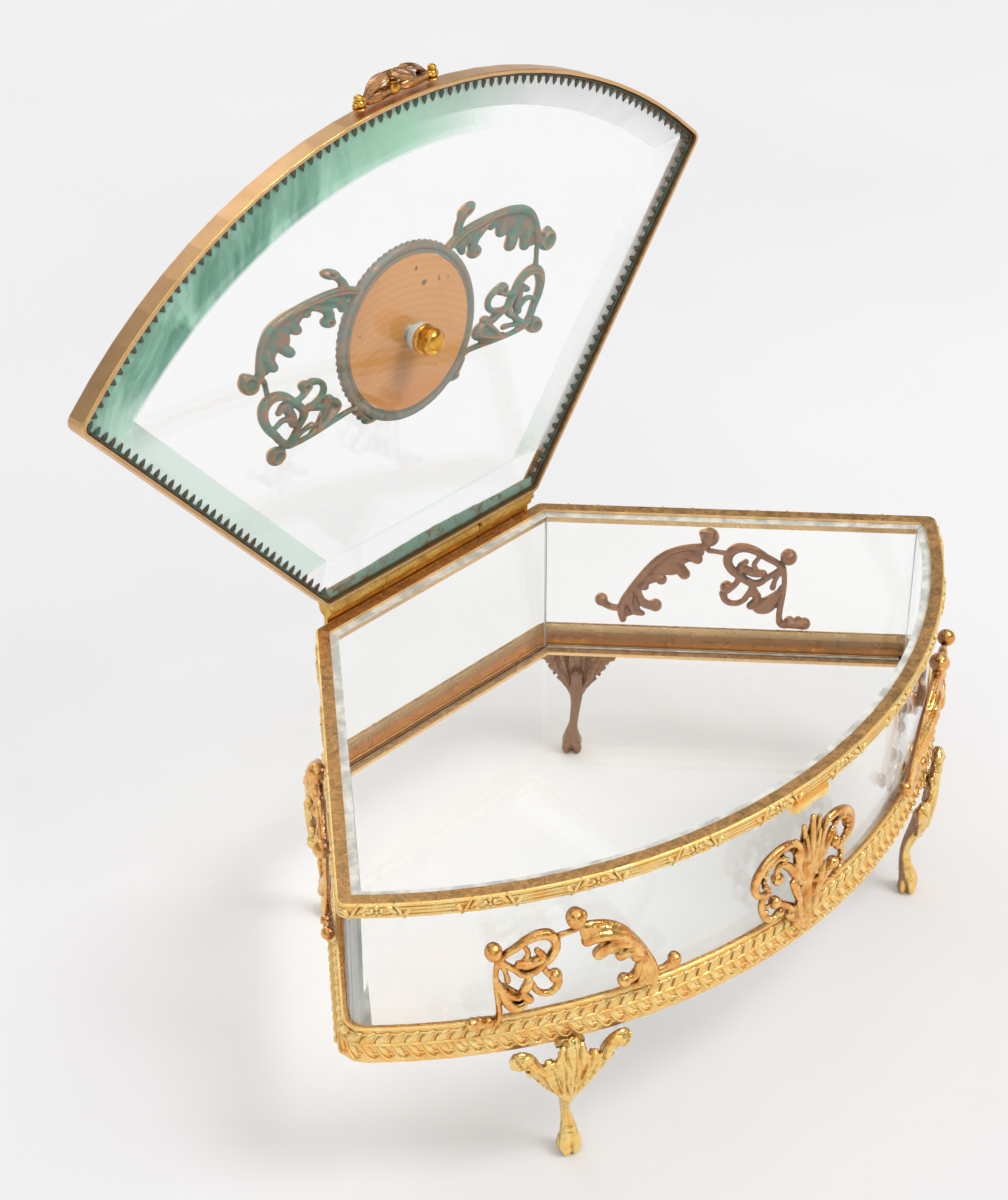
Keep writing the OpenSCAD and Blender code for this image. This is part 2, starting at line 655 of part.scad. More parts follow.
// Lid half of the hinge: two knuckles on leaves soldered to the lid's back,
// each with a heel that meets the rim when the lid is open
module hinge_leaf_lid() {
    inner = body_knuckle / 2 + knuckle_gap;
    leaf_y = rear_y - lid_back_inset + solder_gap;
    heel_reach = hinge_up + 1.35;
    heel_front = hinge_out - rim_swell - 2 * solder_gap;
    heel_t = 1.2;
    color(gilt) opened() both_sides() difference() {
        union() {
            bar(inner, hinge_len / 2, knuckle_r, hinge_y, hinge_z);
            translate([inner, leaf_y, band_z]) cube([hinge_len / 2 - inner, hinge_y - leaf_y - hinge_pin_r,
                band_h]);
            translate([inner, hinge_y, hinge_z]) rotate([lid_open, 0, 0])
                translate([0, -heel_front, -heel_reach])
                    cube([hinge_len / 2 - inner, heel_t, heel_reach - 1]);
        }
        bar(0, hinge_len, hinge_pin_r + pin_play, hinge_y, hinge_z);
    }
}

// Lid band with its folded lip over the glass edge
module lid_frame() {
    back = lid_inset - lid_back_inset;
    in = lid_inset + sheet_t;
    profile = [[lid_inset, band_z], [lid_inset, band_top], [in + lip_w, band_top],
        [in + lip_w, band_top - lip_t], [in, band_top - lip_t], [in, band_z]];
    color(copper) opened() frame_ring(profile, lid_inset, lid_corner_r, back);
}

// Bevelled lid glass with the stud's hole
module lid_glass() {
    back = lid_inset - lid_back_inset;
    side_d = lid_glass_inset + bevel_front_w;
    edge_z = glass_z + lid_edge_t;
    layer = function (d, z) lifted(outline(d, lid_inset, lid_corner_r, back), z);
    color(glass_green) opened() difference() {
        rings_solid([layer(lid_glass_inset, glass_z), layer(lid_glass_inset, edge_z),
            layer(side_d, glass_top)], flip = true);
        translate([0, medal_y, glass_z - 1]) cylinder(r = stud_r + 0.5, h = glass_top - glass_z + 2);
    }
}

// Teeth along one straight or bowed run; at(t, d) is the point at share t
function tooth_run(at, length, root, tip) = let (n = max(round(length / tooth_pitch), 4))
    [for (i = [0:n - 1]) for (k = [0:1]) at((i + 0.5 * k + 0.25) / n, k == 0 ? root : tip)];

// Toothed strip under the edge of the lid glass
module lid_teeth() {
    back = lid_inset - lid_back_inset;
    root = lid_inset + sheet_t + 1.1;
    tip = root + tooth_len;
    strip_t = 0.5;
    reach = function (p, q, t) p + (q - p) * t;
    side_at = function (t, d) reach(rear_centre(tip, tip - back), front_centre(tip), t)
        + side_out * (tip - d);
    side_len = norm(rear_centre(tip, tip - back) - front_centre(tip));
    half_turn = atan2(front_centre(tip)[0], arc_y - front_centre(tip)[1]);
    front_at = function (t, d) [(arc_r - d) * sin(half_turn * (1 - t)),
        arc_y - (arc_r - d) * cos(half_turn * (1 - t))];
    back_half = rear_centre(tip, tip - back)[0];
    back_at = function (t, d) [back_half * t, rear_y - d + back];
    half = concat(tooth_run(back_at, back_half, root, tip), tooth_run(side_at, side_len, root, tip),
        tooth_run(front_at, arc_r * half_turn * PI / 180, root, tip));
    color([0.3, 0.36, 0.3]) opened() translate([0, 0, glass_z - strip_t]) linear_extrude(strip_t)
        difference() {
            polygon(outline(lid_inset + sheet_t, lid_inset, lid_corner_r, back));
            polygon(concat(half, mirrored(half)));
        }
}

// Ring of the medallion, seated on the glass
module medallion_rim() {
    in_r = medal_r - medal_rim_w;
    color(gilt) opened() translate([0, medal_y, glass_top]) rotate_extrude($fn = 72)
        polygon([[in_r, 0], [medal_r, 0], [medal_r, medal_h * 0.5], [medal_r - 1, medal_h * 0.85],
            [medal_r - medal_rim_w / 2, medal_h], [in_r + 0.4, medal_h * 0.8], [in_r, medal_h * 0.6]]);
}

module medallion_plate() {
    color(copper) opened() translate([0, medal_y, glass_top]) difference() {
        cylinder(r = medal_r - medal_rim_w - 0.1, h = medal_plate_t, $fn = 72);
        translate([0, 0, -1]) cylinder(r = stud_r + 0.05, h = medal_plate_t + 2);
    }
}

// Domed round plaque on the back plate
module medallion_plaque() {
    r = medal_r - medal_rim_w - 0.8;
    rise = plaque_rise;
    dome_r = (r * r + rise * rise) / (2 * rise);
    edge = 0.4;
    steps = 8;
    turn = asin(r / dome_r);
    color(gilt) opened() translate([0, medal_y, glass_top + medal_plate_t]) rotate_extrude($fn = 72)
        polygon(concat([[0, 0], [r, 0]], [for (i = [0:steps]) let (a = turn * (1 - i / steps))
            [dome_r * sin(a), edge + rise - dome_r * (1 - cos(a))]]));
}

// Stud from the back plate through the glass into the nut
module medallion_stud() {
    color(copper) opened() translate([0, medal_y, glass_z - nut_h * 0.5])
        cylinder(r = stud_r, h = glass_top + medal_plate_t - glass_z + nut_h * 0.5);
}

washer_t = 0.6;
module medallion_washer() {
    color([0.85, 0.85, 0.8]) opened() translate([0, medal_y, glass_z - washer_t]) difference() {
        cylinder(r = nut_r + 1, h = washer_t);
        translate([0, 0, -1]) cylinder(r = stud_r + 0.1, h = washer_t + 2);
    }
}

// Turned nut with a collar, a waist and a ball end
module medallion_nut() {
    ball_r = nut_r * 0.66;
    blind = nut_h * 0.5 - washer_t;
    steps = 6;
    color(gilt) opened() translate([0, medal_y, glass_z - washer_t]) mirror([0, 0, 1])
        rotate_extrude()
            polygon(concat([[stud_r, 0], [nut_r, 0], [nut_r, nut_h * 0.2], [nut_r * 0.8, nut_h * 0.28],
                [nut_r * 0.8, nut_h * 0.42], [nut_r * 0.58, nut_h * 0.5]],
                [for (i = [0:steps]) let (a = -25 + 115 * i / steps)
                    [max(ball_r * cos(a), 0), nut_h - washer_t - ball_r * (1 - sin(a))]],
                [[0, blind], [stud_r, blind]]));
}

module left_wing() {
    color(copper) opened() arch([lid_face, 0, 1, 0, 0], wing_len / wing_drawn_len);
}

module right_wing() {
    mirror([1, 0, 0]) left_wing();
}

// Posts on the lid's band that carry the clasp bar, with round knobs outside
module clasp_posts() {
    post_half = 1.2;
    post_front = 1.4;
    post_back = sqrt(pow(arc_r - lid_inset, 2) - pow(clasp_w / 2 - post_half, 2));
    color(gilt) opened() both_sides() difference() {
        union() {
            translate([clasp_w / 2 - post_half, bar_y - post_front, bar_z - post_h / 2])
                cube([2 * post_half, arc_y - post_back - bar_y + post_front - solder_gap, post_h]);
            translate([clasp_w / 2, bar_y, bar_z]) sphere(r = knob_r);
        }
        bar(0, clasp_bar_half, clasp_bar_r, bar_y, bar_z);
    }
}

module clasp_bar() {
    color(copper) opened() bar(-clasp_bar_half, clasp_bar_half, clasp_bar_r, bar_y, bar_z);
}

// Lever on the bar: barrel, bow with two leaf wings, tongue over the catch
module clasp_lever() {
    bow_h = 2.4;
    bow_half = barrel_half - 1;
    steps = 8;
    bow_at = function (t, o) [bow_half * t, bar_y - 0.4 - o * (0.5 + 0.5 * cos(180 * t))];
    color(copper) opened() difference() {
        union() {
            bar(-barrel_half, barrel_half, barrel_r, bar_y, bar_z);
            translate([0, 0, bar_z - bow_h / 2]) linear_extrude(bow_h) polygon(concat(
                [for (i = [-steps:steps]) bow_at(i / steps, bow_out - 0.4)],
                [for (i = [steps:-1:-steps]) bow_at(i / steps * 0.86, bow_out - 1.8)]));
            translate([-1.4, tongue_y - tongue_t, bar_z - 1.2])
                cube([2.8, bar_y - tongue_y + tongue_t, 2.4]);
            translate([-tongue_w / 2, tongue_y - tongue_t, tongue_z])
                cube([tongue_w, tongue_t, bar_z + 1.2 - tongue_z]);
        }
        bar(-clasp_w, clasp_w, clasp_bar_r + pin_play, bar_y, bar_z);
    }
}

lower_frame();
bottom_glass();
back_glass();
left_glass();
right_glass();
front_glass();
upper_rim();
catch_lip();
front_left_foot();
front_right_foot();
back_left_foot();
back_right_foot();
foot_rivets();
front_left_arch();
front_right_arch();
left_arch();
right_arch();
palmette();
hinge_leaf_body();
hinge_pin();
hinge_leaf_lid();
lid_frame();
lid_glass();
lid_teeth();
medallion_rim();
medallion_plate();
medallion_plaque();
medallion_stud();
medallion_washer();
medallion_nut();
left_wing();
right_wing();
clasp_posts();
clasp_bar();
clasp_lever();
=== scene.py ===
from math import atan, atan2, cos, exp, hypot, pi, radians, sin, sqrt

import bmesh
import bpy
from mathutils import Matrix, Vector
from mathutils.kdtree import KDTree


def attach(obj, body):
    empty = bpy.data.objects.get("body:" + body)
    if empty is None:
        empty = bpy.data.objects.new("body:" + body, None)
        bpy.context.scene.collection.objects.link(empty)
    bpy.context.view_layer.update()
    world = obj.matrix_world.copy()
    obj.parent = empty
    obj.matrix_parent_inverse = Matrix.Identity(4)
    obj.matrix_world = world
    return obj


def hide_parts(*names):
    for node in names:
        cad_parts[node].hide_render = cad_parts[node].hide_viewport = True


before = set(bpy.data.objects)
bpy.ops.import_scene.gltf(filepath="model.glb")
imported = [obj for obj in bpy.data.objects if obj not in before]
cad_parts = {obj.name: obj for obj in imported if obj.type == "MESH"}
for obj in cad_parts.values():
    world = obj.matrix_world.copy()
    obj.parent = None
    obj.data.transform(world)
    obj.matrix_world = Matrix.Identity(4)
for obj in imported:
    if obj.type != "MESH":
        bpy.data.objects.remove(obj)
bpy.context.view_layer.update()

# The casket's main sizes in millimetres, as in the part's source
MM = 0.001
FRONT_HALF, REAR_HALF, REAR_Y = 110.0, 41.0, 64.5
SIDE_DEPTH, BULGE = 81.0, 48.0
ARC_R = (FRONT_HALF**2 + BULGE**2) / (2 * BULGE)
ARC_Y = ARC_R - REAR_Y
SIDE_K = (FRONT_HALF - REAR_HALF) / SIDE_DEPTH
SIDE_C = hypot(1, SIDE_K)
SIDE_OUT = Vector((1, SIDE_K)) / SIDE_C
SIDE_DIR = Vector((SIDE_K, -1)) / SIDE_C
SIDE_TURN = atan(SIDE_K)
SIDE_T = SIDE_OUT.dot(Vector((REAR_HALF, REAR_Y - ARC_Y)))
LOWER_TOP = 48.0
HINGE = Vector((0, 65.8, 89.45))
LID_OPEN = 93.4
LID_INSET, LID_BACK = 2.8, 1.6
BAND_LOW = 86.3
GLASS_LOW, GLASS_TOP = 88.21, 93.21
MEDAL_Y, MEDAL_R = 2.0, 23.5
# Half the thickness of a casting, and how far castings and feet stand out from the fan outline
CAST_HALF = 0.9
CAST_OUT, FOOT_OUT = 1.75, 2.6
# Corner rounding of each outline, counted from the rim's outline
RIM_CORNER, LOWER_CORNER, LID_CORNER = 2.0, 5.5, 5.3

OPENED = (
    Matrix.Translation(HINGE)
    @ Matrix.Rotation(radians(-LID_OPEN), 4, "X")
    @ Matrix.Translation(-HINGE)
)


def srgb(red, green, blue):
    """A colour as seen, 0 to 255, for a shader"""
    part = [c / 255 for c in (red, green, blue)]
    return (*[c / 12.92 if c < 0.04045 else ((c + 0.055) / 1.055) ** 2.4 for c in part], 1)


# ---- finishes


class Finish:
    """A node material on Object coordinates, built step by step"""

    def __init__(self, name):
        self.material = bpy.data.materials.new(name)
        self.material.use_nodes = True
        self.tree = self.material.node_tree
        self.shader = self.tree.nodes["Principled BSDF"]
        self.place = self.add("ShaderNodeTexCoord").outputs["Object"]

    def add(self, kind, **values):
        node = self.tree.nodes.new(kind)
        for key, value in values.items():
            if key.startswith("in_"):
                self.feed(value, node.inputs[key[3:].replace("_", " ")])
            else:
                setattr(node, key, value)
        return node

    def feed(self, value, socket):
        if isinstance(value, bpy.types.NodeSocket):
            self.tree.links.new(value, socket)
        else:
            socket.default_value = value

    def grain(self, scale, detail=3.0, rough=0.55, stretch=None, warp=0.0):
        place = self.place
        if stretch:
            place = self.add("ShaderNodeMapping", in_Vector=place, in_Scale=stretch).outputs[0]
        return self.add(
            "ShaderNodeTexNoise", in_Vector=place, in_Scale=scale, in_Detail=detail,
            in_Roughness=rough, in_Distortion=warp,
        ).outputs["Fac"]

    def span(self, value, low, high, to_low=0.0, to_high=1.0):
        return self.add("ShaderNodeMapRange", in_Value=value, in_From_Min=low, in_From_Max=high,
                        in_To_Min=to_low, in_To_Max=to_high).outputs["Result"]

    def mix(self, share, *colours):
        """Two colours mixed, each one seen (0 to 255) or from another node"""
        node = self.add("ShaderNodeMix", data_type="RGBA")
        self.feed(share, node.inputs[0])
        for colour, socket in zip(colours, node.inputs[6:8]):
            self.feed(colour if isinstance(colour, bpy.types.NodeSocket) else srgb(*colour), socket)
        return node.outputs[2]

    def math(self, operation, a, b=0.0):
        node = self.add("ShaderNodeMath", operation=operation)
        self.feed(a, node.inputs[0])
        self.feed(b, node.inputs[1])
        return node.outputs[0]

    def times(self, a, b):
        return self.math("MULTIPLY", a, b)

    def shade_in_hollows(self, reach):
        """1 in hollows of the piece itself, 0 on its open faces: where painted shade goes"""
        shade = self.add("ShaderNodeAmbientOcclusion", samples=6, only_local=True,
                         in_Distance=reach)
        return self.span(shade.outputs["AO"], 0.45, 0.95, 1.0, 0.0)

    def mark(self, name):
        """What the points of the piece carry under a name"""
        return self.add("ShaderNodeAttribute", attribute_name=name).outputs["Fac"]

    def normal(self):
        return self.add("ShaderNodeTexCoord").outputs["Normal"]

    def axes(self, vector):
        return self.add("ShaderNodeSeparateXYZ", in_Vector=vector).outputs

    def dot(self, a, b):
        node = self.add("ShaderNodeVectorMath", operation="DOT_PRODUCT")
        self.feed(a, node.inputs[0])
        self.feed(b, node.inputs[1])
        return node.outputs["Value"]

    def back(self, low=0.2, high=0.8):
        """1 on the rear of a casting, as marked on its points"""
        return self.span(self.mark("rear"), low, high)

    def bump(self, height, strength, depth=0.0002):
        node = self.add("ShaderNodeBump", in_Height=height, in_Strength=strength, in_Distance=depth)
        self.feed(node.outputs["Normal"], self.shader.inputs["Normal"])

    def set(self, **values):
        for key, value in values.items():
            self.feed(value, self.shader.inputs[key.replace("_", " ")])


# How fine the worn patches are: waves in a metre
PATCH = 260.0


def gilding(name, bright, worn, dark, rough=(0.24, 0.5), reach=0.0012, hollow_shade_share=0.85, pit=0.25,
            ledge=None, rear=None, inner=None, vein=False, metal=1.0, coarse=0.0):
    """Fire gilding: bright on open faces, worn in patches, with painted shade in the hollows
    that also stands for dark patina there.

    ledge, inner and rear are the colours of faces that look up, face the casket's middle or lie
    at the rear of a casting; inner is painted light, paler where the casket shades those faces;
    vein adds painted shade along marked veins; pit and coarse roughen the surface.
    """
    f = Finish(name)
    patches = f.span(f.grain(PATCH, 4.0, 0.6, warp=0.6), 0.38, 0.66)
    body = f.mix(patches, bright, worn)
    specks = f.span(f.grain(PATCH * 7, 2.0), 0.62, 0.74, 0.0, 0.5)
    if ledge:
        mottle = f.span(f.grain(PATCH * 2.2, 4.0, 0.65, warp=1.0), 0.4, 0.62)
        flat = f.mix(mottle, ledge, [c * 0.8 for c in ledge])
        body = f.mix(f.span(f.axes(f.normal())["Z"], 0.85, 0.99), body, flat)
    # Painted light: faces toward the casket's middle lie in its shade behind the glass, so they are
    # given the paler inner colour
    if inner:
        away = f.add("ShaderNodeMapping", in_Vector=f.place, in_Scale=(1, 1, 0)).outputs[0]
        inward = f.span(f.dot(f.normal(), away), -0.004, 0.0, 1.0, 0.0)
        body = f.mix(inward, body, inner)
    if rear:
        body = f.mix(f.back(), body, rear)
    body = f.mix(specks, body, dark)
    # Painted shade: the dark colour laid into the hollows that occlusion finds, also standing for
    # dark patina there, and along marked veins
    painted_shade = f.times(f.shade_in_hollows(reach), hollow_shade_share)
    if vein:
        painted_shade = f.math("MAXIMUM", painted_shade, f.span(f.mark("vein"), 0.1, 0.9, 0.0, 0.6))
    f.set(Base_Color=f.mix(painted_shade, body, dark), Metallic=metal)
    f.set(Roughness=f.math("ADD", f.span(patches, 0, 1, *rough), f.times(painted_shade, 0.25)))
    height = f.grain(PATCH * 9, 3.0)
    if coarse:
        height = f.math("ADD", f.times(height, 0.3), f.grain(PATCH * coarse, 2.0))
    f.bump(height, pit, 0.0004 if coarse else 0.00012)
    return f.material


def brushed(name, bright, worn, stretch, rough=0.34):
    """Plain sheet brass, rubbed along its length"""
    f = Finish(name)
    streaks = f.span(f.grain(900.0, 3.0, 0.6, stretch=stretch), 0.3, 0.7)
    patches = f.span(f.grain(120.0, 3.0, warp=0.4), 0.35, 0.7)
    body = f.mix(streaks, bright, worn)
    f.set(Base_Color=f.mix(f.times(patches, 0.5), body, worn), Metallic=1.0)
    f.set(Roughness=f.span(streaks, 0, 1, rough - 0.06, rough + 0.1))
    f.bump(streaks, 0.12, 0.0001)
    return f.material


def glassy(name):
    """Glass that lets the lamps through; edges_painted_pale gives it its colour"""
    f = Finish(name)
    f.set(IOR=1.47)
    rays = f.add("ShaderNodeLightPath")
    clear = f.add("ShaderNodeBsdfTransparent")
    clear.inputs["Color"].default_value = (0.97, 0.98, 0.975, 1)
    blend = f.add("ShaderNodeMixShader")
    for value, socket in zip((rays.outputs["Is Shadow Ray"], f.shader.outputs[0],
                              clear.outputs[0]), blend.inputs):
        f.feed(value, socket)
    f.feed(blend.outputs[0], f.tree.nodes["Material Output"].inputs["Surface"])
    return f


# The third colour of each gilding is its dark: it colours dark specks, and it is the painted shade
# in the hollows and veins
stamped_gilt = gilding("stamped_gilt", (255, 228, 154), (255, 206, 120), (140, 80, 32),
                       reach=0.0011, hollow_shade_share=0.9, metal=0.75)
# The frame's inner colour is painted light, paler for faces in the casket's shade
frame_brass = gilding("frame_brass", (255, 216, 142), (248, 190, 112), (134, 84, 42),
                      ledge=(226, 174, 112), inner=(255, 211, 150), metal=0.85)
foot_gilt = gilding("foot_gilt", (255, 226, 146), (255, 202, 110), (146, 86, 30), (0.12, 0.3),
                    rear=(156, 122, 96), vein=True, pit=0.5, coarse=4.0)
cast_orange = gilding("cast_orange", (255, 210, 132), (232, 150, 70), (84, 40, 14), (0.08, 0.24),
                      reach=0.0022, rear=(170, 120, 86), hollow_shade_share=0.95, pit=0.6, coarse=3.0)
hinge_brass = gilding("hinge_brass", (228, 186, 96), (196, 148, 68), (88, 60, 30))
clasp_copper = gilding("clasp_copper", (204, 154, 106), (146, 102, 66), (60, 40, 26), (0.12, 0.3))
knob_gold = gilding("knob_gold", (240, 190, 92), (206, 146, 52), (104, 62, 22), (0.14, 0.3),
                    pit=0.1)
lid_copper = brushed("lid_copper", (246, 204, 152), (200, 154, 108), (6, 90, 6))
fold_gold = brushed("fold_gold", (250, 218, 146), (226, 180, 100), (3, 20, 3), 0.26)


def verdigris(name, metal, green, share, dark, gold=None):
    """Copper that has gone grey-green in patches; the metal shows between them, or gold on its
    front
    """
    f = Finish(name)
    spread = f.span(f.grain(300.0, 5.0, 0.7, warp=0.8), 0.58 - share, 0.7 - share)
    crust = f.times(spread, f.back(0.3, 0.7)) if gold else spread
    base = f.mix(f.back(0.05, 0.5), gold, metal) if gold else metal
    body = f.mix(crust, base, green)
    # Painted shade: the dark colour laid into the hollows that occlusion finds
    body = f.mix(f.times(f.shade_in_hollows(0.0016), 0.8), body, dark)
    f.set(Base_Color=body, Metallic=f.span(crust, 0, 1, 0.9, 0.1))
    f.set(Roughness=f.span(crust, 0, 1, 0.35, 0.75))
    f.bump(f.grain(1900.0, 3.0), 0.3, 0.00015)
    return f.material


OUTSIDE_GOLD = (226, 172, 98)
# The dark tone of each verdigris below is the painted shade in its hollows
RING_TONES = ((164, 140, 116), (128, 136, 122), 0.14, (70, 64, 54))
wing_verdigris = verdigris("wing_verdigris", (166, 122, 94), (88, 132, 112), 0.17, (36, 44, 36),
                           OUTSIDE_GOLD)
rim_verdigris = verdigris("rim_verdigris", *RING_TONES)
ring_verdigris = verdigris("ring_verdigris", *RING_TONES, OUTSIDE_GOLD)
strip_verdigris = verdigris("strip_verdigris", (134, 112, 92), (122, 152, 134), 0.2, (64, 60, 50))
tooth_verdigris = verdigris("tooth_verdigris", (96, 88, 72), (72, 96, 86), 0.12, (34, 38, 34))


def engine_turned():
    """Back plate of the medallion: faint turned arcs and dark specks on copper"""
    f = Finish("medallion_copper")
    arcs = f.add("ShaderNodeTexWave", wave_type="RINGS", rings_direction="Y", in_Scale=160.0,
                 in_Distortion=0.6)
    off_axis = f.add("ShaderNodeMapping", in_Vector=f.place, in_Location=(0.006, 0, -0.118))
    f.feed(off_axis.outputs[0], arcs.inputs["Vector"])
    specks = f.span(f.grain(330.0, 2.0), 0.69, 0.73, 0.0, 0.85)
    tone = f.span(f.grain(60.0, 3.0), 0.35, 0.65)
    body = f.mix(tone, (234, 168, 98), (222, 154, 84))
    body = f.mix(f.span(arcs.outputs["Fac"], 0.2, 0.8, 0.0, 0.12), body, (176, 116, 70))
    body = f.mix(f.span(f.axes(f.place)["Z"], 0.142, 0.136), body, (226, 150, 78))
    f.set(Base_Color=f.mix(specks, body, (112, 78, 54)), Metallic=0.2, Roughness=0.5)
    f.bump(arcs.outputs["Fac"], 0.04, 0.0001)
    return f.material


medallion_copper = engine_turned()
nut_gold = gilding("nut_gold", (240, 182, 84), (208, 142, 54), (96, 54, 18), (0.14, 0.3), pit=0.1)
washer = Finish("pale_washer")
washer.set(Base_Color=washer.mix(washer.grain(500.0), (232, 240, 228), (190, 208, 196)),
           Metallic=0.0, Roughness=washer.span(washer.grain(900.0), 0, 1, 0.3, 0.5))
pale_washer = washer.material


def edges_painted_pale(f, facing, tint, pale=(246, 247, 238), veil=0.0, clear=0.985):
    """Clear through the big faces; the edges, with a small facing, are painted pale and partly
    opaque: a painted reflection of the bright surroundings in them
    """
    edge = f.span(facing, clear - 0.12, clear, 1.0, 0.0)
    streaks = f.span(f.grain(260.0, 3.0, stretch=(1, 1, 0.12)), 0.38, 0.62)
    # The painted pale edge colour, in streaks
    ground = f.mix(streaks, pale, [c * 0.82 for c in pale])
    painted_pale_share = f.math("MAXIMUM", f.times(edge, 0.85), veil)
    f.set(Base_Color=f.mix(edge, tint, ground), Roughness=f.span(edge, 0, 1, 0.0, 0.45))
    f.set(Transmission_Weight=f.span(painted_pale_share, 0, 1, 1.0, 0.0))
    return f.material


def facing_share(f, axis):
    """1 on the two big faces across an axis, 0 on the edges between them"""
    return f.math("ABSOLUTE", f.dot(f.normal(), axis))


def lid_glass_finish():
    """Clear in the flat, with a bevel painted sea green on the left and painted white on the right,
    where it shows the bright backdrop
    """
    f = glassy("lid_glass")
    tip = radians(LID_OPEN)
    facing = facing_share(f, (0, sin(tip), cos(tip)))
    where = f.axes(f.place)
    across, height = where["X"], where["Z"]
    off_edge = f.span(facing, 0.5, 0.7)
    slope = f.times(f.span(facing, 0.965, 0.985, 1.0, 0.0), off_edge)
    streaks = f.span(f.grain(60.0, 4.0, 0.6, stretch=(1, 1, 0.5), warp=1.6), 0.38, 0.62)
    # The bowed bevel is told by its distance from the bow's centre, so it is wider than its slope
    spoke = f.add("ShaderNodeMapping", in_Vector=f.place, in_Scale=(1, 0, 1),
                  in_Location=(0, 0, -(HINGE.y + HINGE.z - ARC_Y) * MM))
    bow = f.add("ShaderNodeVectorMath", operation="LENGTH", in_Vector=spoke.outputs[0])
    inner = (ARC_R - LID_INSET - 15.5) * MM
    deep_arc = f.times(f.span(bow.outputs["Value"], inner, inner + 0.0012),
                      f.span(across, 0.0, 0.04, 1.0, 0.0))
    slope = f.math("MAXIMUM", slope, f.times(deep_arc, off_edge))
    slope = f.times(slope, f.span(height, 0.1005, 0.1025))
    # The bevel is painted rather than lit: sea green for the glass's own green seen through its
    # depth, paler low down, and white on the right as a painted reflection of the backdrop; veil
    # sets how opaque the paint is from place to place
    teal = f.mix(streaks, (168, 214, 190), (88, 144, 120))
    teal = f.mix(f.span(height, 0.155, 0.176), (222, 241, 231), teal)
    teal = f.mix(f.span(across, -0.04, 0.0), teal, (170, 214, 188))
    teal = f.mix(f.span(across, 0.018, 0.05), teal, (254, 255, 254))
    veil = f.times(slope, f.span(height, 0.155, 0.176, 0.5, 0.74))
    veil = f.times(veil, f.span(across, 0.03, 0.05, 1.0, 1.35))
    veil = f.times(veil, f.span(f.math("ADD", across, height), 0.225, 0.25, 1.0, 0.4))
    tint = f.mix(slope, (252, 253, 252), teal)
    return edges_painted_pale(f, facing, tint, (196, 214, 204), veil, 0.7)


def pane_finish(name, axis):
    """A wall or the floor of the casket; axis points out through it, None where it bows"""
    f = glassy(name)
    if axis is None:
        spoke = f.add("ShaderNodeMapping", in_Vector=f.place, in_Location=(0, -ARC_Y * MM, 0),
                      in_Scale=(1, 1, 0))
        axis = f.add("ShaderNodeVectorMath", operation="NORMALIZE",
                     in_Vector=spoke.outputs[0]).outputs["Vector"]
    tint = f.mix(f.span(f.grain(9.0, 2.0), 0.3, 0.7), (253, 253, 252), (249, 250, 248))
    return edges_painted_pale(f, facing_share(f, axis), tint)


lid_glass_clear = lid_glass_finish()
front_clear = pane_finish("front_glass", None)
back_clear = pane_finish("back_glass", (0, 1, 0))
right_clear = pane_finish("right_glass", (*SIDE_OUT, 0))
left_clear = pane_finish("left_glass", (-SIDE_OUT.x, SIDE_OUT.y, 0))
floor_clear = pane_finish("bottom_glass", (0, 0, 1))

NODE_FINISH = {
    "lower_frame": frame_brass, "upper_rim": frame_brass, "catch_lip": stamped_gilt,
    "foot_rivets": foot_gilt, "hinge_leaf_body": hinge_brass, "hinge_leaf_lid": hinge_brass,
    "hinge_pin": hinge_brass, "lid_frame": lid_copper, "lid_teeth": tooth_verdigris,
    "medallion_rim": rim_verdigris, "medallion_plate": medallion_copper,
    "medallion_plaque": medallion_copper, "medallion_stud": nut_gold,
    "medallion_washer": pale_washer, "medallion_nut": nut_gold, "clasp_posts": knob_gold,
    "clasp_bar": hinge_brass, "clasp_lever": lid_copper, "lid_glass": lid_glass_clear,
    "front_glass": front_clear, "back_glass": back_clear, "left_glass": left_clear,
    "right_glass": right_clear, "bottom_glass": floor_clear,
}
for node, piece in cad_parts.items():
    look = NODE_FINISH.get(node, cast_orange)
    piece.data.materials.clear()
    piece.data.materials.append(look)

# ---- making and placing


def new_object(name, data):
    """An object in the scene"""
    thing = bpy.data.objects.new(name, data)
    bpy.context.scene.collection.objects.link(thing)
    return thing


def settle(name, bm, body, finish, replaced=(), crease=None):
    """Closes a piece made in millimetres, with the lid shut: into metres, onto its body"""
    if body != "case":
        bmesh.ops.transform(bm, matrix=OPENED, verts=bm.verts)
    bmesh.ops.scale(bm, vec=(MM, MM, MM), verts=bm.verts)
    mesh = bpy.data.meshes.new(name)
    bm.to_mesh(mesh)
    bm.free()
    mesh.shade_smooth()
    if crease:
        mesh.set_sharp_from_angle(angle=radians(crease))
    mesh.materials.append(finish)
    piece = new_object(name, mesh)
    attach(piece, body)
    if replaced:
        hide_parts(*replaced)


def evaluated(holder):
    """The mesh that a curve or a modifier makes, as a bmesh; the holder is deleted"""
    ready = holder.evaluated_get(bpy.context.evaluated_depsgraph_get())
    mesh = bpy.data.meshes.new_from_object(ready)
    bm = bmesh.new()
    bm.from_mesh(mesh)
    bpy.data.objects.remove(holder)
    bpy.data.meshes.remove(mesh)
    return bm


def tubes(runs, closed=False, sides=3, curved=False):
    """Round stems through points (x, y, z, radius)"""
    curve = bpy.data.curves.new("stems", "CURVE")
    curve.dimensions = "3D"
    curve.bevel_depth = 1.0
    curve.bevel_resolution = sides
    curve.resolution_u = 5
    curve.use_fill_caps = not closed
    for run in runs:
        spline = curve.splines.new("BEZIER" if curved else "POLY")
        points = spline.bezier_points if curved else spline.points
        points.add(len(run) - 1)
        for point, (x, y, z, r) in zip(points, run):
            point.co = (x, y, z) if curved else (x, y, z, 1)
            point.radius = r
            if curved:
                point.handle_left_type = point.handle_right_type = "AUTO"
        spline.use_cyclic_u = closed
    return evaluated(new_object("stems", curve))


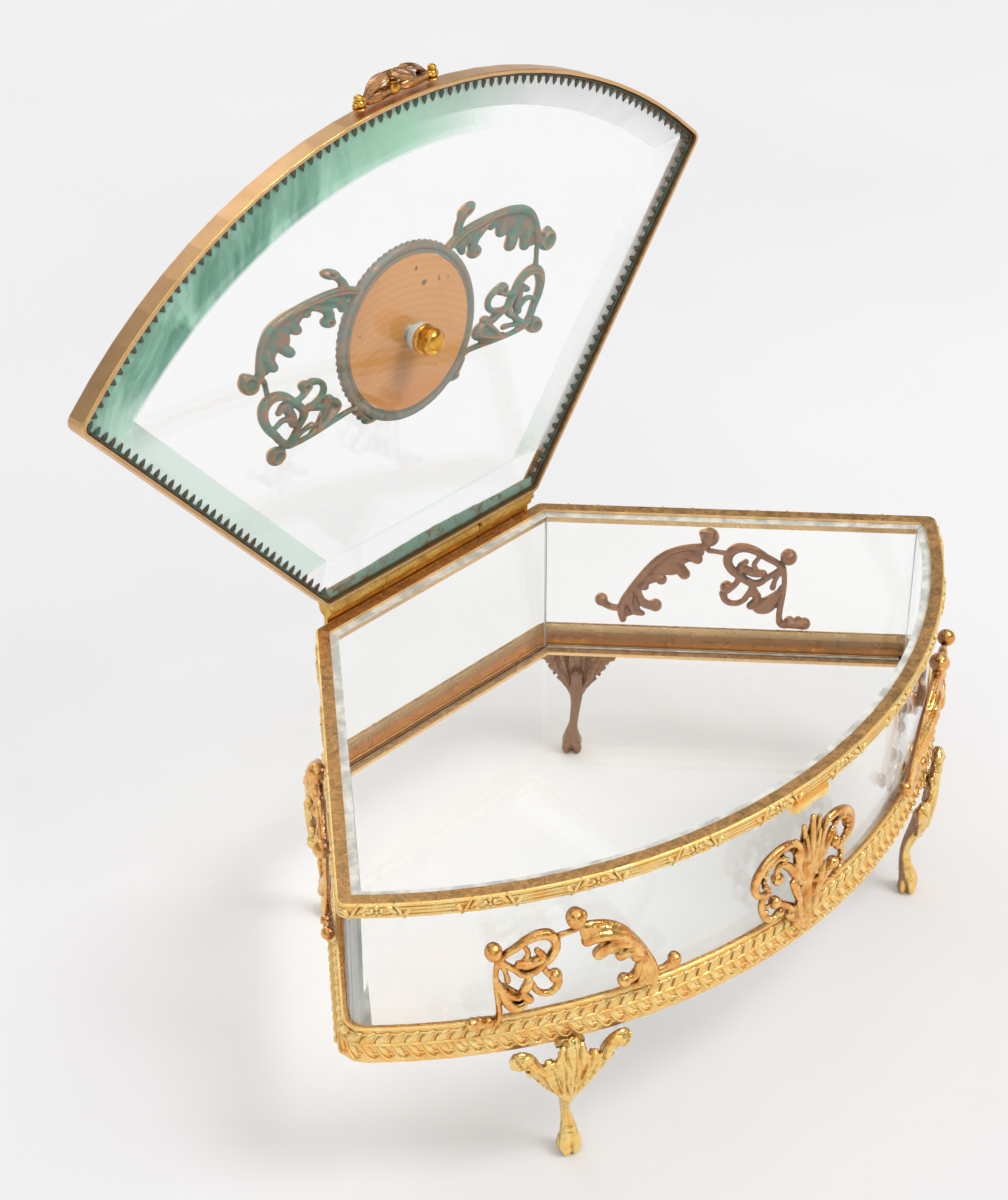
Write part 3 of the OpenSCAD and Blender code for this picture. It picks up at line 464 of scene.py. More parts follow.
def fan_line(inset, corner, back=0.0):
    """The fan outline at an inset, clockwise from the back's middle: (point, outward)"""
    f = max(corner - inset, 0.4)
    e = inset + f
    rear = Vector((REAR_HALF - e * SIDE_C + (e - back) * SIDE_K, REAR_Y - e + back))
    t = SIDE_T - e
    middle = Vector((0, ARC_Y))
    front = middle + SIDE_OUT * t + SIDE_DIR * sqrt((ARC_R - e) ** 2 - t * t)
    turn = atan2(front.y - ARC_Y, front.x)
    half = [(Vector((0, rear.y + f)), Vector((0, 1)))]

    def bend(centre, radius, a0, a1, steps):
        for i in range(steps + 1):
            a = a0 + (a1 - a0) * i / steps
            out = Vector((cos(a), sin(a)))
            half.append((centre + out * radius, out))

    bend(rear, f, pi / 2, SIDE_TURN, 8)
    bend(front, f, SIDE_TURN, turn, 10)
    bend(middle, ARC_R - inset, turn, -pi / 2, 48)
    return half + [(Vector((-p.x, p.y)), Vector((-n.x, n.y))) for p, n in half[-2:0:-1]]


def walk(line, pitch, closed=True):
    """Places at even steps along a line: (point, outward)"""
    loop = line + [line[0]] if closed else line
    spans = [(b[0] - a[0]).length for a, b in zip(loop, loop[1:])]
    total = sum(spans)
    count = round(total / pitch)
    made, i, gone = [], 0, 0.0
    for k in range(count):
        want = total * ((k + 0.5) / count)
        while gone + spans[i] < want:
            gone += spans[i]
            i += 1
        t = (want - gone) / spans[i]
        made.append((loop[i][0].lerp(loop[i + 1][0], t),
                     loop[i][1].lerp(loop[i + 1][1], t).normalized()))
    return made


def stand(point, out, z, tilt=0.0):
    """A place on a band: x along it, y outward, z up"""
    axes = Matrix(((out.y, out.x, 0, point.x), (-out.x, out.y, 0, point.y), (0, 0, 1, z),
                   (0, 0, 0, 1)))
    return axes @ Matrix.Rotation(tilt, 4, "X")


grains = {}


def grain_mesh(taper, segments, rings):
    """A rounded grain of radius 1, made once; taper draws its +x end in to a tip"""
    if (taper, segments, rings) not in grains:
        bm = bmesh.new()
        bmesh.ops.create_uvsphere(bm, u_segments=segments, v_segments=rings, radius=1)
        for v in bm.verts:
            pinch = 1 - taper * max(v.co.x, 0) ** 1.5
            v.co = Vector((v.co.x, v.co.y * pinch, v.co.z * pinch))
        grains[taper, segments, rings] = bpy.data.meshes.new("grain")
        bm.to_mesh(grains[taper, segments, rings])
        bm.free()
    return grains[taper, segments, rings]


def shift(x, y, z):
    return Matrix.Translation((x, y, z))


def drop(bm, place, size, taper=0.0, turn=0.0, segments=8, rings=6):
    """Adds a grain, stretched to a size and tipped about y, at a place"""
    grain = grain_mesh(taper, segments, rings).copy()
    shape = Matrix.Rotation(turn, 4, "Y") @ Matrix.Diagonal((*size, 1))
    grain.transform(place @ shape)
    bm.from_mesh(grain)
    bpy.data.meshes.remove(grain)


# ---- castings, drawn flat as (along, up, out) and laid on a ground

FRONT, SIDE, LID = "front", "side", "lid"


def put(ground, u, v, o):
    """Where a point of a flat casting comes to lie"""
    kind, middle, way, base, out = ground
    s, z, q = middle + way * u, base + v, out + o
    if kind == FRONT:
        a = s / ARC_R
        return Vector(((ARC_R + q) * sin(a), ARC_Y - (ARC_R + q) * cos(a), z))
    if kind == SIDE:
        p = Vector((REAR_HALF, REAR_Y)) + SIDE_DIR * s + SIDE_OUT * q
        return Vector((p.x, p.y, z))
    # A wing leans out with its height and hugs the medallion's ring at its foot
    y = s * (0.7 + 0.012 * z)
    drawn = (MEDAL_R - sqrt(MEDAL_R**2 - min(abs(y), 18.6) ** 2)) * max(1 - z / 26, 0) ** 2
    x = -(MEDAL_R - 1.8 + 1.06 * z - drawn)
    return Vector((x, MEDAL_Y - y - 0.18 * z, GLASS_TOP + 1.0 + q))


def leaf(bm, root, tip, width, lift, groove, base, thick):
    """A pointed leaf with a vein groove, broad near its root"""
    root, tip = Vector(root), Vector(tip)
    along = tip - root
    aside = Vector((-along.y, along.x)).normalized()
    before = len(bm.faces)
    grid = bmesh.ops.create_grid(bm, x_segments=8, y_segments=10, size=1)["verts"]
    for v in grid:
        x, t = v.co.x, (v.co.y + 1) / 2
        half = width / 2 * (0.4 + 0.75 * sin(pi * min(t * 0.95 + 0.08, 1))) * (1 - t**5)
        p = root + along * t + aside * x * half
        crown = lift * (0.55 + 0.45 * sin(pi * t)) * (1 - 0.75 * x * x)
        vein = groove * exp(-((x / 0.22) ** 2)) * (1 - t**3)
        v.co = Vector((p.x, p.y, base - 0.5 + crown - vein))
    bm.faces.ensure_lookup_table()
    bmesh.ops.solidify(bm, geom=bm.faces[before:], thickness=thick)


def sheet(bm, outline, thick):
    """A web of metal inside an outline of points (along, up, out)"""
    before = len(bm.faces)
    face = bm.faces.new([bm.verts.new((p[0], p[1], p[2] if len(p) > 2 else 0.0)) for p in outline])
    bmesh.ops.triangulate(bm, faces=[face], ngon_method="EAR_CLIP")
    bm.faces.ensure_lookup_table()
    bmesh.ops.solidify(bm, geom=bm.faces[before:], thickness=thick)


def cast(stems, balls=(), leaves=(), voxel=0.24, flat=None, floor=None, dish=0.0, webs=()):
    """One casting of stems (along, up, radius, out), balls (along, up, out, radius) and the rest"""
    runs = [[(p[0], p[1], p[3] if len(p) > 3 else 0.0, p[2]) for p in run] for run in stems]
    ends = [(u, v, o, r * 0.97) for run in runs for u, v, o, r in (run[0], run[-1])]
    bm = tubes(runs, curved=True)
    for u, v, o, r in [*balls, *ends]:
        drop(bm, shift(u, v, o), (r, r, r), segments=16, rings=10)
    for one in leaves:
        leaf(bm, *one)
    for outline, thick in webs:
        sheet(bm, outline, thick)
    mesh = bpy.data.meshes.new("casting")
    bm.to_mesh(mesh)
    bm.free()
    holder = new_object("casting", mesh)
    skin = holder.modifiers.new("skin", "REMESH")
    skin.mode = "VOXEL"
    skin.voxel_size = voxel
    bm = evaluated(holder)
    bpy.data.meshes.remove(mesh)
    for _ in range(2):
        bmesh.ops.smooth_vert(bm, verts=bm.verts, factor=0.5, use_axis_x=True, use_axis_y=True,
                              use_axis_z=True)
    for v in bm.verts:
        if flat is not None:
            v.co.z = max(v.co.z, flat)
        if floor is not None:
            v.co.y = max(v.co.y, floor)
    bm.normal_update()
    rear = bm.verts.layers.float.new("rear")
    for v in bm.verts:
        v[rear] = min(max(0.5 - v.normal.z, 0), 1)
    if dish:
        hollow_out(bm, flat, dish, rear)
    return bm


def hollow_out(bm, flat, depth, rear):
    """Sinks the flat rear of a casting, which leaves a thin rim along its outline"""
    level = [v for v in bm.verts if v.co.z < flat + 0.01]
    inside = set(level)
    edge = [v for v in level if any(e.other_vert(v) not in inside for e in v.link_edges)]
    rim = KDTree(len(edge))
    for i, v in enumerate(edge):
        rim.insert(v.co, i)
    rim.balance()
    for v in level:
        away = rim.find(v.co)[2]
        sunk = min(max(away - 0.25, 0) * 1.2, 1)
        v[rear] = 0.35 + 0.65 * sunk
        v.co.z += depth * sunk


def lay(casting, ground, mirrored=False):
    """A copy of a flat casting on its ground"""
    bm = casting.copy()
    for v in bm.verts:
        v.co = put(ground, *v.co)
        if mirrored:
            v.co.x = -v.co.x
    if (ground[0] == FRONT) != (ground[2] > 0) != mirrored:
        bmesh.ops.reverse_faces(bm, faces=bm.faces)
    return bm


ARCH_STEMS = [
    # the left scroll: its loop, the curl inside, the crescent below and the boat-shaped leaf
    [(-19.4, 19.4, 1.0), (-17.5, 21.1, 1.0, 0.1), (-15, 22.5, 1.1, 0.2), (-11.7, 24.6, 1.2, 0.3),
     (-8, 25.4, 1.4, 0.4), (-5.6, 24.4, 1.5, 0.4), (-4.3, 21.3, 1.4, 0.3), (-5.4, 18.3, 1.3, 0.3),
     (-7.7, 16.3, 1.2, 0.3), (-10.1, 14.5, 1.2, 0.2), (-12.3, 13.9, 1.1, 0.1), (-15.5, 16.1, 0.9),
     (-19, 19.1, 0.9)],
    [(-9.3, 20.8, 0.9, 0.4), (-8, 18.6, 1.2, 0.6), (-9.5, 18, 1.3, 0.7), (-11.7, 17.2, 1.3, 0.5),
     (-14.2, 17.3, 1.1, 0.2)],
    [(-12.7, 22.5, 0.7), (-11.6, 20, 0.8), (-12.5, 17.9, 0.9)],
    [(-7.7, 16.3, 0.9), (-6.9, 13.8, 0.9), (-5.2, 12.1, 1.1)],
    [(-3.5, 10, 1.2, 0.4), (-4.4, 7.8, 1.0, 0.3), (-6.5, 7, 0.9, 0.2), (-9, 8.1, 0.9, 0.1),
     (-10.4, 10.4, 0.9), (-11.5, 12.2, 1.0)],
    [(-11.2, 13.6, 0.9), (-11.8, 10.9, 1.5, 0.5), (-13, 8.9, 1.2, 0.5), (-11.2, 6.2, 1.2, 0.4)],
    [(-18.8, 18.2, 0.7), (-17.5, 15.1, 0.7), (-17, 12.8, 0.9)],
    [(-19.6, 13, 0.8, 0.2), (-18, 8.5, 1.3, 0.6), (-15.8, 5.2, 1.5, 0.8), (-13.5, 5, 1.3, 0.6),
     (-11.9, 6.4, 0.8, 0.2)],
    [(-19.2, 12, 0.6, 0.5), (-16.6, 8.8, 0.9, 1.1), (-14.2, 7.6, 0.8, 0.9)],
    [(-19.6, 19.4, 0.9), (-20.1, 15.9, 0.8), (-20, 11, 0.8), (-19.4, 5.6, 0.9), (-19.3, 2.7, 0.9),
     (-20, 0.8, 1.2), (-22.5, 0.9, 1.4), (-26.2, 0.8, 1.6)],
    [(-3.9, 23.6, 0.8), (-1.5, 24, 0.7), (1, 24.3, 0.75)],
    # the right leaf: its back, four fluted fingers, and the stems at its foot
    [(0.9, 28, 1.1), (2.2, 25.4, 1.3, 0.3), (5.8, 25, 1.0, 0.3), (10.5, 23.8, 0.9, 0.3),
     (13.8, 21.6, 1.0, 0.3), (17, 18, 1.1, 0.2), (20.2, 13.3, 1.1, 0.1), (22.4, 9.6, 1.1),
     (24, 6, 1.2), (24.4, 3.4, 1.2), (23.9, 0.6, 1.1)],
    [(18.6, 15.6, 0.8, 0.9), (14.4, 20.6, 1.0, 1.2), (10.2, 22.8, 1.05, 1.2),
     (6.4, 23.6, 1.0, 0.9)],
    [(20.4, 12.6, 0.8, 0.7), (16.4, 17.6, 1.1, 1.6), (11.6, 21, 1.35, 1.9), (7.2, 22, 1.6, 1.5),
     (3.9, 20.9, 1.55, 0.8)],
    [(21.2, 11, 0.8, 0.5), (17.2, 15.9, 1.1, 1.7), (13.2, 18.6, 1.5, 2.1), (9.8, 18.2, 1.8, 1.6),
     (7.3, 15.9, 1.7, 0.7)],
    [(21.2, 10.2, 0.8, 0.4), (18.6, 13.4, 1.2, 1.4), (16, 14.9, 1.6, 1.6), (13.6, 13.8, 1.65, 0.8)],
    [(21.6, 9.2, 0.8, 0.4), (19.8, 11.2, 1.1, 0.9), (18, 11.3, 1.15, 0.6)],
    [(24.4, 4.2, 1.0), (27.2, 4.4, 1.0, 0.2), (29.4, 5.6, 1.2, 0.4)],
    [(20, 11, 0.8), (19.4, 8.2, 1.1, 0.3), (18.2, 5.9, 1.3, 0.5), (16, 5, 1.3, 0.5)],
    [(21.6, 9.2, 0.8), (22, 6, 1.1, 0.3), (20.6, 3.2, 1.2, 0.4), (18.5, 2.5, 0.8, 0.2)],
]
ARCH_BALLS = [(-20.9, 22.7, 0.6, 2.4), (0.9, 28.4, 0.6, 2.7), (2.6, 29.2, 1.0, 1.3),
              (-4.4, 12.1, 0.5, 1.9), (30, 6.5, 0.6, 1.9), (15, 5.2, 0.6, 1.9),
              (-22.2, 1.4, 0.6, 1.5), (-26.4, 0.9, 0.3, 1.8), (-24.6, 2.2, 0.5, 1.0)]
ARCH_WEBS = [
    ([(1.8, 25.6, 0.4), (5.8, 25, 0.4), (10.5, 23.8, 0.5), (13.8, 21.6, 0.6), (17, 18, 0.6),
      (20.2, 13.3, 0.4), (22, 10, 0.3), (19.4, 9.8, 0.3), (17, 12, 0.4), (14.6, 13.2, 0.4),
      (12.9, 15.4, 0.5), (10.8, 15.2, 0.5), (8.6, 16, 0.4), (8.4, 18.6, 0.5), (6.4, 19.8, 0.5),
      (4, 20.4, 0.4), (2.2, 22.6, 0.4)], 1.2),
    ([(-19.8, 12.4), (-18.2, 8.2), (-15.8, 4.8), (-13.4, 4.6), (-11.8, 6.2), (-13.4, 8.6),
      (-16, 9.2), (-17.6, 11.4)], 1.1),
    ([(23.6, 8), (24.6, 4), (23.8, 0.8), (21, 2), (18.8, 2.4), (19.4, 5), (20.4, 9)], 1.1),
]
arch = cast(ARCH_STEMS, ARCH_BALLS, voxel=0.2, webs=ARCH_WEBS)
arch_flat = cast(ARCH_STEMS, ARCH_BALLS, voxel=0.24, flat=-CAST_HALF, dish=0.75, webs=ARCH_WEBS)
ARCHES = {
    "left_arch": ((SIDE, 47.5, -1, LOWER_TOP, CAST_OUT), True),
    "right_arch": ((SIDE, 47.5, -1, LOWER_TOP, CAST_OUT), False),
    "front_left_arch": ((FRONT, -70.7, 0.88, LOWER_TOP, CAST_OUT), False),
    "front_right_arch": ((FRONT, -70.7, 0.88, LOWER_TOP, CAST_OUT), True),
}
for name, (ground, mirrored) in ARCHES.items():
    settle(name + "_casting", lay(arch, ground, mirrored), "case", cast_orange, [name])
for name, mirrored in (("left_wing", False), ("right_wing", True)):
    settle(name + "_casting", lay(arch_flat, (LID, 0, 1, 0, 0), mirrored), "lid",
           wing_verdigris, [name])


def both(points):
    """A list of points and its mirror image"""
    return [points, [(-p[0], *p[1:]) for p in points]]


PALM_HALF = [
    [(2.6, 66, 1.0, 0.3), (3.4, 69.6, 1.0, 0.5), (5.2, 71.9, 1.0, 0.6), (8.4, 73, 1.1, 0.7),
     (12.4, 72.2, 1.2, 0.7), (15.8, 69.6, 1.2, 0.6), (17.2, 66.2, 1.2, 0.4), (16.9, 63, 1.1, 0.3),
     (15, 61, 1.0, 0.1), (12.6, 60.4, 1.0)],
    [(3.8, 67.5, 0.5), (5.6, 70, 0.55), (8.6, 71, 0.6), (12, 70.2, 0.6), (14.4, 67.9, 0.6),
     (15.2, 65.4, 0.55)],
    [(1.6, 58, 1.2, 0.5), (4.6, 62.6, 1.3, 0.8), (7.4, 66.6, 1.2, 0.8), (9.3, 67.8, 0.9, 0.6),
     (10.4, 66.2, 0.8, 0.4), (10.4, 64.6, 0.8, 0.4)],
    [(13.4, 60.4, 0.9), (14.4, 58.4, 0.9), (14.3, 55.6, 0.9, 0.2), (12.8, 52.8, 0.9, 0.3),
     (10.6, 51.6, 0.9, 0.3), (8.8, 52.6, 0.8, 0.2)],
    [(1.5, 49, 1.2, 0.4), (4.6, 52, 1.1, 0.4), (7.6, 54.6, 1.0, 0.4), (10.4, 56.6, 1.2, 0.4)],
    [(1.7, 45, 1.4, 0.2), (1.5, 50, 1.3, 0.5), (1.4, 56, 1.2, 0.6), (1.6, 62, 1.3, 0.7),
     (1.9, 67, 1.3, 0.8), (2.2, 72, 1.0, 1.0), (2.7, 76.2, 0.7, 1.2)],
    [(1.2, 46, 1.0, 0.4), (3.8, 48.4, 1.2, 0.5), (5, 50, 1.3, 0.5)],
    [(1.6, 60, 0.9, 0.8), (3.8, 65, 1.1, 1.1), (4.6, 69, 1.0, 1.0)],
    [(3.2, 64.4, 0.6, 1.2), (3.4, 68.4, 0.9, 1.6), (4.4, 71.4, 1.0, 1.5), (5.6, 73.4, 0.7, 1.3)],
    [(1.2, 52, 0.8, 1.2), (3.4, 55.2, 1.1, 1.6), (4.6, 58.4, 1.2, 1.5), (5.4, 60.4, 0.9, 1.2)],
    [(1.4, 47, 0.8, 1.2), (2.6, 50.4, 1.0, 1.7), (3, 53.6, 0.9, 1.6)],
    [(0.9, 62, 0.5, 2.0), (1.6, 68, 0.6, 2.2), (2.4, 73, 0.5, 2.0)],
]
PALM_TRUNK = [(0, 44.6, 1.7, 0.8), (0, 50, 1.6, 1.1), (0, 56, 1.4, 1.1), (0, 62, 1.5, 1.2),
              (0, 68, 1.4, 1.3), (0, 73, 1.1, 1.4), (0, 78, 0.7, 1.5)]
PALM_BALLS = [
    (10.2, 64, 0.5, 1.7), (10.5, 56.9, 0.5, 1.7), (4.8, 50, 0.5, 1.4), (8.4, 52.4, 0.4, 1.2),
    # frills along the inside of the two loops and on the trunk's leaves
    *[(11.2 + 3.9 * cos(a), 66.4 + 4.4 * sin(a), 1.1, 0.75 + 0.15 * (i % 2))
      for i, a in enumerate(-0.9 + 0.42 * k for k in range(9))],
    *[(11 + 2.6 * cos(a), 55.6 + 3 * sin(a), 0.9, 0.7) for a in (-1.2, -0.6, 0, 0.6)],
    *[(2.4 + 0.5 * (i % 2), 47.6 + 2.3 * i, 1.3, 0.7) for i in range(10)],
]
palm = cast(sum(map(both, PALM_HALF), []) + [PALM_TRUNK], sum(both(PALM_BALLS), []), voxel=0.2)
settle("palmette_casting", lay(palm, (FRONT, -4, 1, 0, CAST_OUT)), "case", cast_orange,
       ["palmette"])

# The foot: an acanthus fan with two rolled ends over a deer's leg and a cloven hoof
FOOT_STEMS = [
    [(0, 26, 1.9, -1.2), (0, 21, 2.1, -2.0), (0, 18, 1.55, -3.2), (0.3, 14.5, 1.3, -4.1),
     (0.6, 11.5, 1.25, -4.3), (0.9, 9.2, 1.6, -3.9), (1, 7.2, 2.1, -3.3)],
    [(-0.3, 20, 0.7, -0.6), (-0.1, 16, 0.5, -2.2), (0.2, 12.5, 0.45, -3.2), (0.5, 9.5, 0.6, -2.6)],
    [(0.5, 20, 0.6, -0.8), (0.6, 16, 0.45, -2.3), (0.8, 12.5, 0.45, -3.3), (1.3, 9.5, 0.6, -2.6)],
    [(0, 19, 1.1, -1.0), (0, 26, 1.3, 0.6), (0, 33, 1.5, 1.3), (0, 39.4, 1.2, 1.7)],
    [(0, 22, 0.4, 1.2), (0, 30, 0.45, 2.4), (0, 38.6, 0.4, 2.9)],
    [(0.9, 8, 1.7, -3.6), (1, 6.2, 2.3, -3.0), (1, 4.2, 2.6, -2.5), (1, 2.1, 2.1, -1.9)],
]
FOOT_HALF = [
    [(0.7, 19.5, 0.8, -0.9), (1.5, 27, 1.1, 0.5), (2.1, 34, 1.2, 1.1), (2.3, 37.9, 0.9, 1.4)],
    [(1, 20, 0.8, -1.0), (3.4, 27, 1.2, 0.3), (4.7, 31.6, 1.3, 0.7), (5.3, 34, 1.0, 0.9)],
    [(2.2, 24, 0.3, 0.8), (3.8, 29.5, 0.36, 1.6), (4.8, 33, 0.3, 1.7)],
    [(1.2, 20, 1.0, -1.1), (5, 27, 1.4, 0.1), (8.4, 32.5, 1.6, 0.7), (10.4, 36.4, 1.45, 1.0),
     (12.2, 37.9, 1.2, 1.1), (13.9, 37, 1.1, 1.1), (13.9, 35.2, 0.9, 1.1)],
    [(2.8, 22.6, 0.35, 0.6), (5.4, 27, 0.4, 1.4), (8.6, 32.6, 0.45, 2.2), (10.8, 36.6, 0.4, 2.3)],
    [(3.6, 26, 0.3, 0.9), (6.6, 32, 0.36, 1.6), (8.2, 35, 0.3, 1.8)],
    [(3.4, 24.5, 0.9, -0.6), (6, 27.4, 1.1, -0.2), (7.4, 28, 0.9, 0.1)],
    [(5.4, 27.6, 0.9, -0.2), (8.4, 30.6, 1.1, 0.2), (10.1, 31.4, 0.9, 0.4)],
    [(2, 21.6, 0.8, -1.0), (3.8, 23.6, 0.9, -0.7), (5.1, 24.4, 0.7, -0.5)],
    [(1.2, 5.6, 1.2, -2.4), (1.3, 4.0, 1.5, -1.8), (1.3, 2.2, 1.5, -1.4), (1.1, 0.9, 1.2, -1.3)],
    [(1.4, 4, 1.2, -3.7), (1.6, 1.8, 1.3, -3.7), (1.5, 0.8, 1.1, -3.5)],
]
WEB_HALF = [(3.4, 23, -0.9), (6, 26.6, -0.2), (9.4, 31.2, 0.5), (11, 35.6, 0.9), (9, 35, 0.8),
            (7.6, 33.2, 0.8), (6, 34.6, 0.9), (4.2, 34.4, 1.0), (3, 37, 1.2), (1, 39.6, 1.4)]
web_right, web_left = both(WEB_HALF)
FOOT_WEB = ([(0, 18, -1.6), *web_left, *web_right[::-1]], 1.2)
FOOT_BALLS = [(12.6, 36, 1.2, 2.0), (10.8, 33.2, 0.5, 0.8), (8.4, 29.6, 0.2, 0.7),
              (6.3, 25.8, -0.3, 0.6), (1.5, 38.9, 1.2, 0.75), (2.9, 36.4, 1.2, 0.7),
              (3.2, 34.8, 1.1, 0.6), (5.9, 34.4, 1.0, 0.7), (6.9, 33.2, 0.9, 0.6),
              (9, 35.4, 0.8, 0.7), (0.7, 40.2, 1.5, 0.7)]


def leaning(runs):
    """The hoof's parts, moved to the side with the leg"""
    return [[(p[0] + (p[1] < 8.5 and p[3] < -1), *p[1:]) for p in run] for run in runs]


foot = cast(FOOT_STEMS + leaning(sum(map(both, FOOT_HALF), [])), sum(both(FOOT_BALLS), []),
            voxel=0.18, floor=0.0, webs=[FOOT_WEB])
# Veins spread over the fan to a frilled edge, the hoof is cloven and the leg has hair; the vein
# mark lays painted shade into the veins' grooves, the cleft and lines for the hair
vein = foot.verts.layers.float.new("vein")
for v in foot.verts:
    u, h, o = v.co
    if h > 19 and o > -1.6:
        spoke, far = atan2(u, h - 13), hypot(u, h - 13)
        ripple = 0.6 * cos(spoke * 43 + 0.3 * sin(far * 0.9))
        ripple += 0.5 * cos(spoke * 88 + far * 0.35 + 1.1 * sin(far * 0.6))
        ripple *= min((h - 19) / 5, 1)
        frill = cos(far * 2.9 + 7 * abs(sin(spoke * 6))) * 0.5
        dip = max(-ripple - 0.1, 0) ** 1.2
        v[vein] = min(dip * 0.8 + max(-frill - 0.3, 0), 1)
        v.co.z -= 0.42 * dip + 0.22 * max(-frill, 0)
        rolled = max(abs(u) - 8.5, 0) / 5
        v.co.y += 0.36 * frill * min(rolled + 0.5, 1)
    elif h < 5.6 and o > -3.2:
        cleft = exp(-(((u - 1) / 0.38) ** 2)) * min((5.6 - h) / 2, 1)
        v[vein] = 0.8 * cleft
        v.co.z -= 0.4 * cleft
    else:
        v[vein] = max(cos(u * 4 + h * 0.3), 0) * 0.35
foot.normal_update()
FEET = {
    "front_left_foot": ((FRONT, -70.7, 1, 0, FOOT_OUT), False),
    "front_right_foot": ((FRONT, -70.7, 1, 0, FOOT_OUT), True),
    "back_right_foot": ((SIDE, 11, -1, 0, FOOT_OUT), False),
    "back_left_foot": ((SIDE, 11, -1, 0, FOOT_OUT), True),
}
for name, (ground, mirrored) in FEET.items():
    bm = lay(foot, ground, mirrored)
    pad = bmesh.ops.create_cube(bm, size=1)["verts"]
    for v in pad:
        u, o = v.co.x * 7, -3.7 + v.co.y * 7.4
        v.co = put(ground, u, 37.9 + v.co.z * 1.2, o)
        v.co.x *= -1 if mirrored else 1
    bmesh.ops.recalc_face_normals(bm, faces=list({f for v in pad for f in v.link_faces}))
    settle(name + "_casting", bm, "case", foot_gilt, [name])
for casting in (arch, arch_flat, palm, foot):
    casting.free()

# ---- stamped bands

# Leaves lie aslant on a sloping face, in a row above and a row below its middle, and a fine ridge
# bends round each pair
LEAF_TILT = atan(1.3 / 5.8)
LEAF_PITCH, LEAF_Z = 3.5, 43.4
RIDGE = [(1.5, -0.2, 0.14), (0.9, -1.3, 0.26), (0.1, -2.5, 0.34), (-0.8, -3.45, 0.38),
         (-1.6, -3.75, 0.36), (-2.3, -3.4, 0.28), (-2.9, -2.7, 0.16)]
# (up, turn, size, taper, along, out) of each grain of a pair
LEAF_GRAINS = (
    (-1.7, -0.9, (2.6, 0.5, 1.1), 0.3, -0.3, 0),
    (1.7, 0.7, (2.6, 0.8, 1.2), 0.35, -0.3, 0),
    (1.7, 0.7, (1.9, 0.34, 0.3), 0.3, -0.5, 0.5),
)
bm = bmesh.new()
ridges = []
for point, out in walk(fan_line(-0.62, LOWER_CORNER), LEAF_PITCH):
    place = stand(point, out, LEAF_Z, LEAF_TILT)
    for up, turn, size, taper, along, off in LEAF_GRAINS:
        drop(bm, place @ shift(along, off, up), size, taper, pi + turn)
    ridges.append([(*(place @ Vector((x, 0.55, z))), r) for x, z, r in RIDGE])
settle("lower_leaf_band", bm, "case", stamped_gilt)
settle("lower_rope_edge", tubes(ridges, sides=1), "case", stamped_gilt)


def reed(inset, corner, z, r, back=0.0):
    """A wire round the fan at an inset, a height and a radius"""
    return [(p.x, p.y, z, r) for p, n in fan_line(inset, corner, back)]


ribs = [(-0.68, LEAF_Z, 0.42), (-1.2, 41.05, 0.3), (-0.12, 46.1, 0.32), (0.12, 47.5, 0.42)]
bm = tubes([reed(inset, LOWER_CORNER, z, r) for inset, z, r in ribs], closed=True)
settle("lower_frame_ribs", bm, "case", stamped_gilt)


def off_back(p):
    """Whether a point is clear of the hinge"""
    return not (p.y > REAR_Y - 1 and abs(p.x) < 39)


face_line = [(p, n) for p, n in fan_line(0.02, RIM_CORNER) if off_back(p)]
bm = tubes([[(p.x, p.y, z, 0.52) for p, n in face_line] for z in (82.35, 83.4, 84.45, 85.4)])
settle("rim_reeds", bm, "case", stamped_gilt)

FLOWER_PITCH, FLOWER_Z = 26.0, 83.85
# (along, up, size, taper, turn) of the leaves on one side of a flower
SPRAY = (
    (5.2, 0, (2.8, 0.75, 0.5), 0, 1.05), (3.4, 0.5, (2.1, 0.8, 0.8), 0.6, 0.7),
    (3.2, -1.1, (1.7, 0.72, 0.6), 0.6, -0.4), (6.8, -0.3, (1.5, 0.7, 0.7), 0.5, 2.4),
)
bm = bmesh.new()
for point, out in walk(face_line, FLOWER_PITCH, closed=False):
    place = stand(point, out, FLOWER_Z) @ shift(0, 0.28, 0)
    for side in (-1, 1):
        for along, up, size, taper, turn in SPRAY:
            off = shift(side * along, 0, up)
            drop(bm, place @ off, size, taper, side * turn)
    for i in range(5):
        a = 2 * pi * i / 5 + 0.3
        petal = shift(1.05 * cos(a), 0.05, 1.05 * sin(a))
        drop(bm, place @ petal, (0.85, 0.75, 0.6), 0, -a)
    drop(bm, place @ shift(0, 0.35, 0), (0.55, 0.6, 0.55))
settle("rim_flowers", bm, "case", stamped_gilt)

# ---- lid

bm = tubes([reed(LID_INSET + 0.3, LID_CORNER, BAND_LOW + 0.42, 0.4, LID_BACK)], closed=True)
settle("lid_gold_fold", bm, "lid", fold_gold)

TOOTH_PITCH = 2.9
bm = tubes([reed(LID_INSET + 1.4, LID_CORNER, GLASS_LOW - 0.35, 0.5, LID_BACK)], closed=True,
           sides=1)
for point, out in walk(fan_line(LID_INSET + 2.6, LID_CORNER, LID_BACK), TOOTH_PITCH):
    if off_back(point + out * 3):
        place = stand(point, out, GLASS_LOW - 0.36) @ Matrix.Rotation(-pi / 2, 4, "Z")
        drop(bm, place, (1.5, 0.85, 0.33), 0.55)
settle("lid_tooth_row", bm, "lid", tooth_verdigris, ["lid_teeth"])

